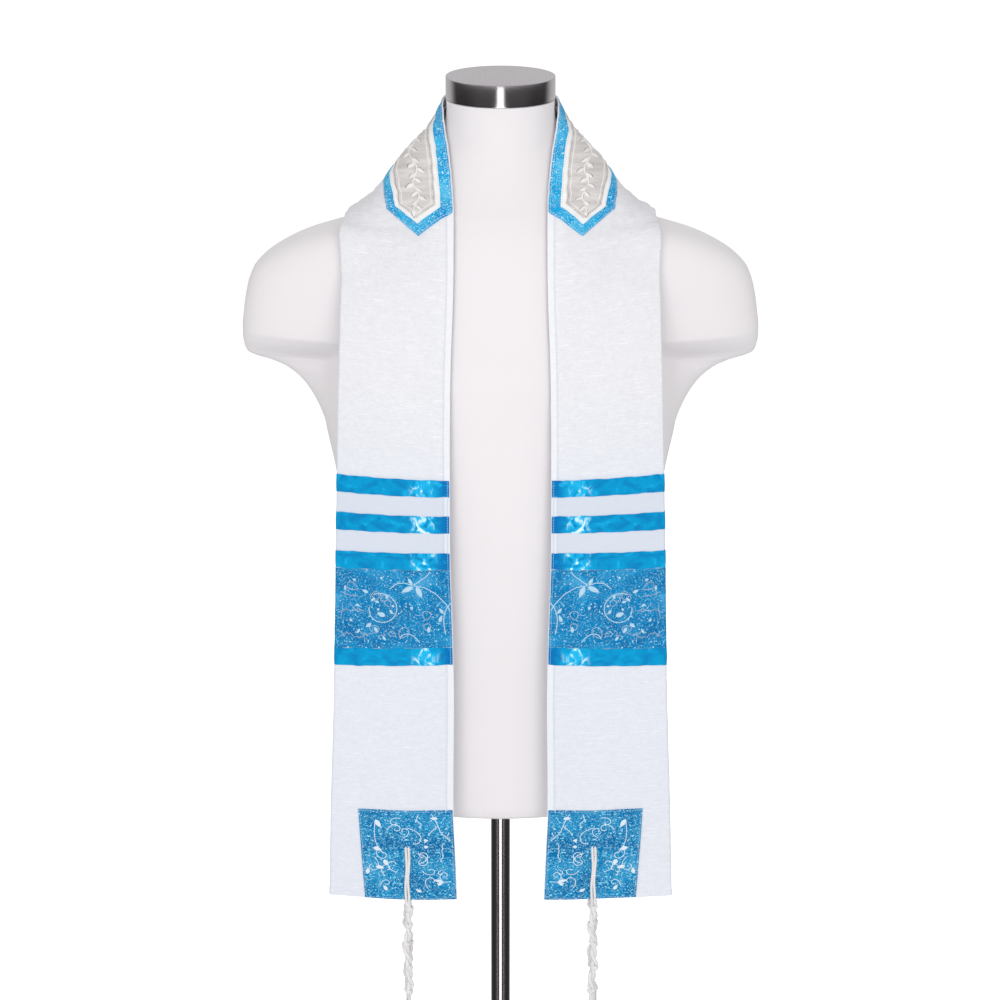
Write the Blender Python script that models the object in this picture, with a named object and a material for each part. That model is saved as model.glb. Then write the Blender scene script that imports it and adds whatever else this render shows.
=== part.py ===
"""A long prayer shawl, folded in four along its length and worn like a scarf on a dress form.

The shawl is one strip of cloth from hem to hem. Everything sewn to it is made from the points
of its front face, moved out by a few tenths of a millimetre. Lengths inside are millimetres,
with heights measured down from a level just above the neck cap; the solids are written in metres,
+Z up, with the origin on the floor under the pole and the front towards -Y.
"""

import math

import bmesh
import bpy
import numpy as np

for old in list(bpy.data.objects):
    bpy.data.objects.remove(old)

TOP = 1450.0  # the height from which depths are measured, 3 mm above the neck cap
SEAM = 0.3  # gap between pieces that touch

CLOTH = 6.0  # whole thickness of the four folded layers
WALL = 1.2  # the front layer
SLOT = 0.4  # opening between the front layer and the layers behind it
WIDTH = 115.0  # folded width, a quarter of the cloth's 460
HALF = 928.0  # centre back to hem along the strip
SPARE = 35.0  # how far the edge tables run on past the hem
REST = 2.8  # cloth's back face to the form where it lies on it
CROWN = 5.0  # how far the middle of the panel stands out from its two edges

CAP_R = 54.0
CAP_TOP = 3.0
CAP_BOTTOM = 25.5
POLE_R = 9.9
SOCKET_DEEP = 60.0
BASE_R = 160.0
BASE_THICK = 8.0
FORM_ANGLES = 36

BLUE = (0.003, 0.262, 0.591, 1.0)
BROCADE = (0.051, 0.305, 0.565, 1.0)
WHITE = (0.86, 0.87, 0.90, 1.0)
SILVER = (0.68, 0.66, 0.64, 1.0)


# Tables

# The form, ring by ring: depth below the cap top, half width, and the round core inside it
# (half width, front, back) with the depth of the ridge that runs out into the shoulders.
FORM_COLUMNS = ("down", "half", "core", "front", "back", "ridge")
FORM = np.array([
    (25.8, 53.4, 53.4, 53, 53, 20),
    (34, 53, 53, 52.3, 52.3, 20),
    (44, 54, 53, 52, 53, 22),
    (57, 60.5, 53.5, 52.8, 55, 26),
    (67, 68.5, 54, 53.5, 58, 30),
    (77, 78, 58, 56.5, 62.5, 34),
    (90, 90, 64, 61, 68, 40),
    (104, 102, 73, 67, 75, 45),
    (118, 113.5, 84, 74, 81, 49),
    (130, 126, 95, 81, 86, 52),
    (138, 137.5, 103, 84.5, 89, 54),
    (145, 148, 110, 87.5, 91.5, 55.5),
    (151, 168, 117, 89.5, 93, 57),
    (158, 192, 123, 91.5, 94.5, 58),
    (168, 214, 130, 94, 96.5, 60),
    (181, 233.5, 140, 97, 99, 62),
    (196, 246.5, 149, 99.5, 101, 64),
    (215, 253, 157, 102, 103, 65.5),
    (240, 257, 165, 106, 104.5, 66.5),
    (256, 258.5, 169, 108, 105, 65),
    (264, 258.5, 171, 109, 105, 57),
    (273, 257.3, 174, 110, 105, 43),
    (281, 254.5, 176, 111, 105, 29),
    (285.5, 246, 177.5, 111.5, 105, 25),
    (290, 231, 178.5, 112, 105, 25),
    (298, 214, 179, 112, 104.5, 27),
    (310, 200, 179.2, 112, 104, 28),
    (328, 187.5, 179.5, 112, 103, 29),
    (353, 177, 177, 112, 101.5, 30),
    (399, 168, 168, 110, 97, 30),
    (450, 160, 160, 107, 93, 30),
    (510, 152, 152, 104, 90, 30),
    (590, 147, 147, 101.5, 90, 30),
    (738, 145, 145, 98, 92, 30),
    (750, 142.5, 142.5, 95.5, 89.5, 30),
    (755, 134, 134, 87, 81, 30),
])

# The strip's two edges on its front face, from centre back to past the hem, on the +X side.
# Columns: x, y, and depth below the cap top.
NECK_EDGE = np.array([
    (0, 58.5, 27),
    (22, 54.5, 27),
    (42, 42, 26),
    (54.5, 21.5, 25),
    (58, 3, 26),
    (56.3, -13, 37),
    (52.58, -30.41, 60.94),
    (49.09, -44.17, 78.23),
    (47.59, -55.88, 95.33),
    (46.06, -67.62, 113),
    (45.06, -75.79, 124),
    (45.32, -88.6, 148.3),
    (45.34, -97.36, 176.6),
    (46.32, -104, 215.1),
    (48.55, -110.6, 265.6),
    (49.73, -117, 345.4),
    (49.73, -117, 383.5),
    (49.94, -117.1, 464),
    (47.35, -117, 548.7),
    (46.56, -117.1, 612.2),
    (48.09, -117, 732.1),
    (45.79, -117.1, 776.7),
    (43.98, -117.1, 830.9),
    (42.68, -117.1, 866.1),
])
OUTER_EDGE = np.array([
    (0, 98, 141),
    (40, 97, 142),
    (80, 90, 142),
    (112, 70, 140),
    (136, 42, 138),
    (149, 15, 138),
    (154, -10, 140),
    (156, -34, 150),
    (156, -58, 174),
    (157, -78, 211),
    (158, -90, 250),
    (160, -97, 310),
    (161.7, -101, 373),
    (163, -110, 440),
    (164, -117, 506),
    (167, -119, 612),
    (171.5, -120, 720),
    (173.4, -119, 776),
    (174.6, -120, 824),
    (175.3, -120, 860),
])

# How far the strip's threads have crept along it where it hangs: at the neck edge and at the
# outer fold, by distance from centre back.
SLACK = np.array([
    (0, 0, 0),
    (120, 3.5, 0),
    (208, 5, -3),
    (300, 2.5, 0),
    (480, -1.7, 2.8),
    (560, -2.2, 3.8),
    (665, -2.8, 4),
    (829, -0.6, 1),
    (928, 0, 0),
    (970, 0, 0),
])

# What is sewn across each end. Columns: lower edge, upper edge, both up from the hem.
RIBBONS = ((432.0, 449.3), (394.5, 412.0), (356.0, 373.4), (254.8, 273.4))
BAND = (273.7, 355.7)
PATCH_HIGH = 98.8
PATCH_WIDE = (86.5, 80.0)  # at its top and at the hem, along the folded width
HOLE = (58.0, 41.5)  # up from the hem, in from the neck edge
HOLE_R = 3.7

# The neckband: half length to its corners and to its point, and its width.
NECKBAND_HALF = 205.0
NECKBAND_POINT = 29.0
NECKBAND_WIDE = 62.0
MARGIN_IN = 9.5  # the blue border
FIELD_IN = 13.8  # the blue border and the white margin

# Each tassel's wound head. Columns: distance below the hem, radius.
HEAD = np.array([
    (3.2, 4.4),
    (7.5, 5.4),
    (12.5, 3.7),
    (22, 3.7),
    (24.5, 4.9),
    (28, 4.9),
    (30, 3.7),
    (44, 3.7),
    (46.5, 4.9),
    (50, 4.9),
    (52, 3.7),
    (70, 3.7),
    (72.5, 4.9),
    (76, 4.9),
    (78, 3.7),
    (97, 3.7),
    (100, 5.0),
    (104, 4.3),
])
STRAND_END = 262.0


# The form's surface

def superellipse(angle, wide, deep, power):
    """Radius of a rounded oval at each angle round its centre."""
    across = (np.abs(np.cos(angle)) / wide) ** power
    along = (np.abs(np.sin(angle)) / deep) ** power
    return (across + along) ** (-1.0 / power)


def form_radius(angle, down):
    """Radius of the form: its round core and its shoulder ridge, blended where they cross."""
    half, core, front, back, ridge = (
        np.interp(down, FORM[:, 0], FORM[:, k]) for k in range(1, len(FORM_COLUMNS))
    )
    reach = np.maximum(half**8 - core**8, 1.0) ** 0.125
    depth = np.where(np.sin(angle) < 0, front, back)
    body = superellipse(angle, core, depth, 2.1)
    arms = superellipse(angle, reach, ridge, 2.5)
    return (body**8 + arms**8) ** 0.125


FORM_TURN = np.linspace(-math.pi, math.pi, FORM_ANGLES + 1)
FORM_AT = np.arctan2(0.6 * np.sin(FORM_TURN[:-1]), np.cos(FORM_TURN[:-1]))
FORM_AT[0] = -math.pi
FORM_AT = np.append(FORM_AT, math.pi)


def off_form(points):
    """How far points stand outside the form's flat facets, measured along the radius."""
    angle = np.arctan2(points[..., 1], points[..., 0])
    k = np.clip(np.searchsorted(FORM_AT, angle, side="right") - 1, 0, FORM_ANGLES - 1)
    first, second = FORM_AT[k], FORM_AT[k + 1]
    near = form_radius(first, -points[..., 2])
    far = form_radius(second, -points[..., 2])
    level = near * np.sin(angle - first) + far * np.sin(second - angle)
    return np.hypot(points[..., 0], points[..., 1]) - near * far * np.sin(second - first) / level


def clear_of_form(points):
    """Distance off the form along its own outward slope, and that slope."""
    here = off_form(points)[..., None]
    slope = np.stack(
        [(off_form(points + step) - here[..., 0]) / 0.5 for step in 0.5 * np.eye(3)], axis=-1
    )
    size = np.linalg.norm(slope, axis=-1, keepdims=True)
    return here / size, slope / size


def laid_on_form(points, gap):
    """Points nearer to the form than the gap, moved straight out to it. The change is gradual,
    so that the cloth lifts off the form in a curve."""
    gap = gap[..., None]
    off = clear_of_form(points)[0]
    wanted = gap + np.logaddexp(0.0, off - gap)
    for _ in range(3):
        off, out = clear_of_form(points)
        points = points + out * (wanted - off)
    return points


# The cloth's front face

def whole_edge(rows):
    """One edge of the strip from hem to hem at equal steps, with its corners averaged away."""
    right = rows * (1.0, 1.0, -1.0)
    line = np.concatenate([(right * (-1.0, 1.0, 1.0))[:0:-1], right])
    for turn in range(16):
        gaps = np.linalg.norm(np.diff(line, axis=0), axis=1)
        run = np.concatenate([[0.0], np.cumsum(gaps)])
        even = np.linspace(0.0, run[-1], 387)
        line = np.stack([np.interp(even, run, line[:, k]) for k in range(3)], axis=1)
        line[1:-1] = 0.25 * line[:-2] + 0.5 * line[1:-1] + 0.25 * line[2:]
    return line


EDGES = (whole_edge(NECK_EDGE), whole_edge(OUTER_EDGE))


def face_point(along, across):
    """Front face of the cloth: along from the centre back, across from the neck edge. The front
    layer lies on the form by itself along the neck edge, and on the hidden layers further out."""
    reach = HALF + SPARE
    at = np.linspace(-reach, reach, len(EDGES[0]))
    inner, outer = (
        np.stack([np.interp(along + np.sign(along) * np.interp(np.abs(along), SLACK[:, 0], slip),
                            at, edge[:, k]) for k in range(3)], axis=-1)
        for edge, slip in zip(EDGES, SLACK.T[1:])
    )
    share = (across / WIDTH)[..., None]
    point = inner + (outer - inner) * share
    out = point * (1.0, 1.0, 0.0)
    out = out / np.linalg.norm(out, axis=-1, keepdims=True)
    point = point + out * CROWN * 4.0 * share * (1.0 - share)
    under = np.clip(across / 11.0, 0.0, 1.0)
    under = WALL + (CLOTH - WALL) * under * under * (3 - 2 * under)
    return laid_on_form(point, under + REST)


# Grid lines of the front face: close together round the neck, wide apart where it hangs.
HALF_ALONG = [0, 18, 36, 54, 70, 86, 102, 118, 134, 150, 166, 182, 198, 213, 223, 232, 243, 258, 280, 308,
              345, 395, 455, 520, 590, 690, 790, 868, 900, HALF]
ALONG = np.array([-HALF - 12.0] + [-a for a in HALF_ALONG[:0:-1]] + HALF_ALONG + [HALF + 12.0])
ACROSS = np.array([0, 5, 12, 25, 40, 56, 72, 88, 102, 112, 115.0])
GRID = np.stack(np.meshgrid(ALONG, ACROSS, indexing="ij"), axis=-1)
FACE = face_point(GRID[..., 0], GRID[..., 1])
DOWNWARD = face_point(GRID[..., 0] + 2, GRID[..., 1]) - face_point(GRID[..., 0] - 2, GRID[..., 1])
OUTWARD = face_point(GRID[..., 0], GRID[..., 1] + 2) - face_point(GRID[..., 0], GRID[..., 1] - 2)
NORMAL = np.cross(DOWNWARD, OUTWARD)
NORMAL = NORMAL / np.linalg.norm(NORMAL, axis=-1, keepdims=True)


def on_cloth(along, across, deep):
    """A point on the grid's own triangles, then moved in by its depth behind the front face."""
    along, across, deep = np.broadcast_arrays(
        np.asarray(along, float), np.asarray(across, float), np.asarray(deep, float)
    )
    i = np.clip(np.searchsorted(ALONG, along, side="right") - 1, 0, len(ALONG) - 2)
    j = np.clip(np.searchsorted(ACROSS, across, side="right") - 1, 0, len(ACROSS) - 2)
    right = ALONG[i] >= 0
    i, n = np.where(right, i, i + 1), np.where(right, i + 1, i)
    a = ((along - ALONG[i]) / (ALONG[n] - ALONG[i]))[..., None]
    b = ((across - ACROSS[j]) / (ACROSS[j + 1] - ACROSS[j]))[..., None]
    found = []
    for field in (FACE, NORMAL):
        start = field[i, j]
        far = field[n, j + 1]
        low = start + a * (field[n, j] - start) + b * (far - field[n, j])
        high = start + b * (field[i, j + 1] - start) + a * (far - field[i, j + 1])
        found.append(np.where(a >= b, low, high))
    return found[0] - found[1] * deep[..., None]


# Solids

def metres(points):
    return (np.asarray(points) + (0.0, 0.0, TOP)) * 0.001


def material(name, colour, rough, metal=0.0):
    made = bpy.data.materials.get(name)
    if made:
        return made
    made = bpy.data.materials.new(name)
    made.use_nodes = True
    shader = made.node_tree.nodes["Principled BSDF"]
    shader.inputs["Base Color"].default_value = colour
    shader.inputs["Roughness"].default_value = rough
    shader.inputs["Metallic"].default_value = metal
    return made


def solid(name, points, faces, finish, smooth=True):
    """An object from points in millimetres and faces as lists of point numbers."""
    mesh = bpy.data.meshes.new(name)
    mesh.from_pydata([tuple(p) for p in metres(points)], [], [tuple(f) for f in faces])
    tidy = bmesh.new()
    tidy.from_mesh(mesh)
    bmesh.ops.recalc_face_normals(tidy, faces=tidy.faces[:])
    tidy.to_mesh(mesh)
    tidy.free()
    mesh.materials.append(finish)
    made = bpy.data.objects.new(name, mesh)
    bpy.context.scene.collection.objects.link(made)
    if smooth:
        mesh.shade_smooth()
        mesh.set_sharp_from_angle(angle=math.radians(40))
    return made


def tube_faces(rings, around, across=None, along=None):
    """Faces between closed rings of points, and one flat face over each end. Where the rings
    are sections of the cloth, each face is split the way the cloth's grid is: from the neck
    edge outward as it runs towards the hem."""
    faces = []
    for i in range(rings - 1):
        for k in range(around):
            a = i * around + k
            b = i * around + (k + 1) % around
            c, d = b + around, a + around
            if across is None:
                faces.append((a, b, c, d))
            elif (across[(k + 1) % around] > across[k]) == (along[i] + along[i + 1] > 0):
                faces += [(a, b, c), (a, c, d)]
            else:
                faces += [(a, b, d), (b, c, d)]
    faces.append(tuple(range(around))[::-1])
    faces.append(tuple(range((rings - 1) * around, rings * around)))
    return faces


def cut(target, tool):
    """Takes one solid out of another."""
    tool.hide_render = True
    tool.display_type = "WIRE"
    step = target.modifiers.new(tool.name, "BOOLEAN")
    step.operation = "DIFFERENCE"
    step.solver = "EXACT"
    step.object = tool


def across_outline(front, back, end, back_end):
    """A band that wraps the front, the outer fold and the back of the folded cloth, as
    across and depth pairs: the outside line out, then the inside line home."""
    columns = ACROSS[:-1]
    turn = np.radians([30, 60, 90, 120, 150])
    lines = []
    for lift in (back, front):
        there = [(max(u, end), -lift) for u in columns]
        bend = [(WIDTH - 3 + (3 + lift) * math.sin(t), 3 - (3 + lift) * math.cos(t)) for t in turn]
        home = [(u, CLOTH + lift) for u in columns[:1:-1]] + [(back_end, CLOTH + lift)]
        lines.append(there + bend + home)
    return np.array(lines[0] + lines[1][::-1])


# The shawl

def shawl_outline():
    """The four layers in section: the front layer as a wall of its own, wrapped round the
    outer fold to the back, and the hidden layers as one rounded body, grooved at the edge."""
    columns = list(ACROSS[:-1])
    turn = np.radians([30, 60, 90, 120, 150])
    front = [(u, 0.0) for u in columns]
    bend = [(WIDTH - 3 + 3 * math.sin(t), 3 - 3 * math.cos(t)) for t in turn]
    back = [(u, CLOTH) for u in columns[:1:-1]] + [(13.0, CLOTH)]
    edge = [(9.9, 5.9), (9.0, 4.95), (9.7, 4.15), (13.0, 4.0)]
    edge += [(13.0, 3.65), (8.6, 3.4), (8.0, 2.5), (8.6, WALL + SLOT)]
    inside = [(u, WALL + SLOT) for u in columns[2:7]]
    slot_end = [(columns[6] + 3.0, WALL + SLOT / 2)]
    under = [(u, WALL) for u in columns[6::-1]]
    return np.array(front + bend + back + edge + inside + slot_end + under)


outline = shawl_outline()
stations = ALONG[1:-1]
shawl_points = on_cloth(stations[:, None], outline[None, :, 0], outline[None, :, 1])
white_cloth = material("white_slub_cloth", WHITE, 0.85)
shawl = solid(
    "shawl_cloth",
    shawl_points.reshape(-1, 3),
    tube_faces(len(stations), len(outline), outline[:, 0], stations),
    white_cloth,
)


# Ribbons and the brocade band, wrapped round each end of the folded cloth

satin = material("blue_satin", BLUE, 0.3)
brocade = material("blue_brocade", BROCADE, 0.5)


def wrapped(name, side, low, high, lift, thick, finish):
    """A band across one end, between two distances up from the hem."""
    steps = [low] + [HALF - a for a in HALF_ALONG if low + 1 < HALF - a < high - 1] + [high]
    along = np.sort(side * (HALF - np.array(steps)))
    section = across_outline(lift, lift + thick, 1.0, 15.0)
    points = on_cloth(along[:, None], section[None, :, 0], section[None, :, 1])
    faces = tube_faces(len(along), len(section), section[:, 0], along)
    return solid(name, points.reshape(-1, 3), faces, finish)


for side, hand in ((-1, "left"), (1, "right")):
    for number, (low, high) in enumerate(RIBBONS, start=1):
        wrapped(f"ribbon_{hand}_{number}", side, low, high, SEAM, 0.8, satin)
    wrapped(f"brocade_band_{hand}", side, *BAND, SEAM, 1.0, brocade)


# Flat pieces cut to an outline and laid on the front face

def laid_piece(name, lines, low, high, finish):
    """The part of the cloth's grid inside every line, lifted off the face to two heights and
    closed round its edge. A line is (along, across, outward along, outward across)."""
    flat = bmesh.new()
    spots = {}
    near = [line[0] for line in lines]
    use = [
        n for n in range(1, len(ALONG) - 1)
        if min(near) - 60 < ALONG[n] < max(near) + 60
    ]
    for i in use:
        for j, across in enumerate(ACROSS[:-1]):
            spots[i, j] = flat.verts.new((ALONG[i], across, 0.0))
    for i in use[:-1]:
        for j in range(len(ACROSS) - 2):
            a, b, c, d = spots[i, j], spots[i, j + 1], spots[i + 1, j + 1], spots[i + 1, j]
            halves = ((a, b, c), (a, c, d)) if ALONG[i] >= 0 else ((a, b, d), (b, c, d))
            for corners in halves:
                flat.faces.new(corners)
    for s, u, ds, du in lines:
        bmesh.ops.bisect_plane(
            flat,
            geom=flat.verts[:] + flat.edges[:] + flat.faces[:],
            dist=0.01,
            plane_co=(s, u, 0.0),
            plane_no=(ds, du, 0.0),
            clear_outer=True,
        )
    bmesh.ops.triangulate(flat, faces=flat.faces[:])
    flat.verts.index_update()
    spots = np.array([v.co[:2] for v in flat.verts])
    tris = [[v.index for v in face.verts] for face in flat.faces]
    rim = [
        (e.verts[0].index, e.verts[1].index) for e in flat.edges if len(e.link_faces) == 1
    ]
    flat.free()
    count = len(spots)
    points = np.concatenate([on_cloth(spots[:, 0], spots[:, 1], -level) for level in (high, low)])
    faces = tris + [[i + count for i in tri[::-1]] for tri in tris]
    faces += [(a, b, b + count, a + count) for a, b in rim]
    return solid(name, points, faces, finish)


def neckband_lines(inset):
    """Outline of the neckband, drawn in by an inset: two long sides and two points."""
    corner = NECKBAND_HALF
    slope = NECKBAND_POINT / (NECKBAND_WIDE / 2)
    size = math.hypot(1.0, slope)
    lines = [(0.0, inset + 0.6, 0.0, -1.0), (0.0, NECKBAND_WIDE - inset, 0.0, 1.0)]
    for end in (-1, 1):
        tip = end * (corner + NECKBAND_POINT - inset * size)
        for way in (-1, 1):
            lines.append((tip, NECKBAND_WIDE / 2, end / size, way * slope / size))
    return lines


silver = material("silver_satin", SILVER, 0.35, 0.3)
laid_piece("neckband_border", neckband_lines(0.0), SEAM + 0.05, 1.35, brocade)
laid_piece("neckband_margin", neckband_lines(MARGIN_IN), 1.65, 2.4, white_cloth)
laid_piece("neckband_field", neckband_lines(FIELD_IN), 2.7, 3.5, silver)

patches = {}
for side, hand in ((-1, "left"), (1, "right")):
    skew = (PATCH_WIDE[1] - PATCH_WIDE[0]) / PATCH_HIGH
    patches[hand] = laid_piece(
        f"corner_patch_{hand}",
        [
            (side * (HALF - 0.5), 0.0, side, 0.0),
            (side * (HALF - PATCH_HIGH), 0.0, -side, 0.0),
            (side * HALF, 0.9, 0.0, -1.0),
            (side * HALF, PATCH_WIDE[1], -side * skew, 1.0),
        ],
        SEAM, 1.3, brocade,
    )


# Tassels: a strap up to the cloth, a wound and knotted head, and eight strands

cord = material("white_cord", (0.80, 0.80, 0.78, 1.0), 0.8)


def tassel(name, strap, side, axis, twist):
    """Rings of twelve points down the strap and the head, then eight strands that leave the
    head's end face. Strap rows hold a centre, half width along side, and half thickness."""
    around = np.radians(45 + 30 * np.arange(12))
    rings = []
    centres = np.array([row[0] for row in strap])
    for n, (centre, wide, thick) in enumerate(strap):
        way = centres[min(n + 1, len(centres) - 1)] - centres[max(n - 1, 0)]
        way = way / np.linalg.norm(way)
        out = np.cross(way, side)
        out = out / np.linalg.norm(out)
        rings.append(
            centre + wide * np.cos(around)[:, None] * side
            + thick * np.sin(around)[:, None] * out
        )
    for below, radius in HEAD:
        sway = 0.8 * math.sin(below / 9.0 + twist)
        centre = np.array((axis[0] + sway, axis[1], axis[2] - below))
        rings.append(centre + radius * np.stack(
            [np.cos(around), -np.sin(around), np.zeros(12)], axis=1
        ))
    points = [tuple(p) for ring in rings for p in ring]
    faces = tube_faces(len(rings), 12)
    faces.pop()
    rim = list(range(len(points) - 12, len(points)))
    end = np.array(rings[-1])
    middle = end.mean(axis=0)
    inner = []
    for k in (0, 3, 6, 9):
        inner.append(len(points))
        points.append(tuple(middle + (end[k] - middle) * 0.38))
    faces.append(tuple(inner))
    cells = []
    for n in range(4):
        k = 3 * n
        cells.append((rim[k - 1], rim[k], rim[k + 1], inner[n]))
        cells.append((inner[n], rim[k + 1], rim[(k + 2) % 12], inner[(n + 1) % 4]))
    for n, cell in enumerate(cells):
        corners = np.array([points[i] for i in cell])
        heart = corners.mean(axis=0)
        away = (heart - middle) * (1.0, 1.0, 0.0)
        square = 0.85 * np.array([(1, 1, 0), (1, -1, 0), (-1, -1, 0), (-1, 1, 0)]) * 0.9
        turn = [math.atan2(c[1] - heart[1], c[0] - heart[0]) for c in corners]
        square = [min(square, key=lambda s: abs(
            math.remainder(math.atan2(s[1], s[0]) - t - 0.01, 2 * math.pi))) for t in turn]
        drop = STRAND_END - HEAD[-1, 0] - (3.0 * ((n * 5) % 8) / 8.0)
        last = list(cell)
        for share in (0.02, 0.35, 0.7, 1.0):
            wave = 0.35 * math.sin(4.0 * share + n * 0.8 + twist) * min(1.0, share * 4)
            spot = heart + away * np.array((0.55, 0.18, 0.0)) * min(1.0, share * 2.5)
            spot = spot + (wave, 0.0, -drop * share)
            new = list(range(len(points), len(points) + 4))
            points += [tuple(spot + s) for s in square]
            for k in range(4):
                faces.append((last[k], last[(k + 1) % 4], new[(k + 1) % 4], new[k]))
            last = new
        faces.append(tuple(last))
    return solid(name, points, faces, cord)


for side, hand in ((-1, "left"), (1, "right")):
    hole = side * (HALF - HOLE[0])
    level = on_cloth(hole, HOLE[1] + 4.0, 0.0) - on_cloth(hole, HOLE[1] - 4.0, 0.0)
    level = side * level / np.linalg.norm(level)

    def beside(up, deep):
        """A point of the strap's line: up from the hem, behind the front face."""
        point = on_cloth(side * (HALF - up), HOLE[1], deep)
        return np.array((on_cloth(hole, HOLE[1], 0.0)[0], point[1], point[2]))

    strap = [
        (beside(HOLE[0], 0.9), 3.0, 0.7),
        (beside(HOLE[0], -1.4), 3.0, 0.7),
        (beside(HOLE[0] - 2.0, -2.4), 3.0, 0.75),
        (beside(HOLE[0] - 6.0, -2.5), 3.0, 0.75),
        (beside(HOLE[0] / 2, -2.6), 3.1, 0.8),
        (beside(6.0, -2.6), 3.1, 0.8),
        (beside(0.3, -2.7), 3.1, 0.9),
    ]
    start = beside(0.0, 0.0)
    tassel(f"tassel_front_{hand}", strap, level, start - (0.0, 0.6, 0.0), 0.0)
    straight = on_cloth(hole, HOLE[1], np.array([-4.0, WALL + SLOT / 2]))
    way = straight[1] - straight[0]
    way = way / np.linalg.norm(way)
    wide = np.cross(way, (0.0, 0.0, 1.0))
    wide = wide / np.linalg.norm(wide)
    high = np.cross(way, wide)
    angle = np.radians(np.arange(0, 360, 30))[:, None]
    ring = HOLE_R * (np.cos(angle) * wide + np.sin(angle) * high)
    drill = solid(
        f"hole_cutter_{hand}", np.concatenate([straight[0] + ring, straight[1] + ring]),
        tube_faces(2, 12), cord, smooth=False,
    )
    cut(shawl, drill)
    cut(patches[hand], drill)

    pocket_along = side * (HALF + np.array([3.0, -11.0]))
    pocket = np.array([(HOLE[1] - 4.2, 2.5), (HOLE[1] + 4.2, 2.5), (HOLE[1] + 4.2, 4.6),
                       (HOLE[1] - 4.2, 4.6)])
    pocket_points = on_cloth(pocket_along[:, None], pocket[None, :, 0], pocket[None, :, 1])
    cut(shawl, solid(
        f"pocket_cutter_{hand}", pocket_points.reshape(-1, 3), tube_faces(2, 4), cord, smooth=False,
    ))
    strap = [
        (beside(9.5, 3.55), 3.0, 0.65),
        (beside(0.2, 3.55), 3.0, 0.65),
        (start + (0.0, 4.3, -2.4), 3.1, 0.7),
        (start + (0.0, 7.4, -4.3), 3.1, 0.9),
        (start + (0.0, 10.4, -5.6), 3.2, 1.6),
    ]
    tassel(f"tassel_rear_{hand}", strap, level, start + (0.0, 12.2, -4.2), 0.7)


# The dress form, its cap, pole and base

def turned(name, rows, sides, finish):
    """A round solid from radius and height rows, heights up from the floor."""
    angle = np.radians(np.arange(sides) * 360.0 / sides)
    points = [
        (r * math.cos(a), r * math.sin(a), z - TOP) for r, z in rows for a in angle
    ]
    return solid(name, points, tube_faces(len(rows), sides), finish)


angles = FORM_AT[:-1]
rings = []
for down in FORM[:, 0]:
    radius = form_radius(angles, np.full(len(angles), down))
    rings.append(np.stack(
        [radius * np.cos(angles), radius * np.sin(angles), np.full(len(angles), -down)], axis=1
    ))
jersey = material("white_jersey", (0.87, 0.84, 0.85, 1.0), 0.9)
torso = solid(
    "dress_form_torso", np.concatenate(rings), tube_faces(len(rings), FORM_ANGLES), jersey,
)

steel = material("brushed_steel", (0.50, 0.48, 0.49, 1.0), 0.3, 1.0)
turned(
    "neck_cap",
    [(CAP_R - 0.8, TOP - CAP_BOTTOM), (CAP_R, TOP - CAP_BOTTOM + 0.8), (CAP_R, TOP - CAP_TOP - 0.8),
     (CAP_R - 0.8, TOP - CAP_TOP)],
    32, steel,
)
bottom = TOP - FORM[-1, 0]
cut(torso, turned(
    "pole_socket_cutter",
    [(POLE_R + SEAM, bottom - 5), (POLE_R + SEAM, bottom + SOCKET_DEEP)], 24, steel,
))
turned(
    "pole",
    [(POLE_R, 4.0), (POLE_R, bottom + SOCKET_DEEP - SEAM)], 24, steel,
)
base = turned(
    "floor_base",
    [(BASE_R - 1.0, 0.0), (BASE_R, 1.0), (BASE_R, BASE_THICK - 2), (BASE_R - 0.8, BASE_THICK - 0.5),
     (BASE_R - 2.5, BASE_THICK)],
    32, steel,
)
cut(base, turned(
    "base_socket_cutter", [(POLE_R + SEAM, 4.0 - SEAM), (POLE_R + SEAM, BASE_THICK + 5)], 24, steel,
))
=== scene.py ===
import math

import bpy
import numpy as np
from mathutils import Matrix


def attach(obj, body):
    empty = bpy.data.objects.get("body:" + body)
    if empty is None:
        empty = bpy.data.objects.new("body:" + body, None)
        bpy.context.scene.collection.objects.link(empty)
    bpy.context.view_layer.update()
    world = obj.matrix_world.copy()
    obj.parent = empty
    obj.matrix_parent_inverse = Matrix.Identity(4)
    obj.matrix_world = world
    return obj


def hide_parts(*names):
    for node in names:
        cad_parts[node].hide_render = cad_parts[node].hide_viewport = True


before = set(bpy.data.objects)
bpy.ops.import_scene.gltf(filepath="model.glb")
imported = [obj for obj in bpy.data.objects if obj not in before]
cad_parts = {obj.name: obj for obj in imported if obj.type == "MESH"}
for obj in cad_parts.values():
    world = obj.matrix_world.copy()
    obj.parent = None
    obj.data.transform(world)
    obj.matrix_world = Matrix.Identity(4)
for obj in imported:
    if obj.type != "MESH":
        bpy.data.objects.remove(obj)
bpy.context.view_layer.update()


# Torso of the dress form: a hard shell padded lightly and covered in one smooth stretch jersey.
# It is a round core with a ridge that runs out into two short shoulders, cut off under the arm.
# Lengths are in millimetres, and depths are below a level just above the neck cap.

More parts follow.
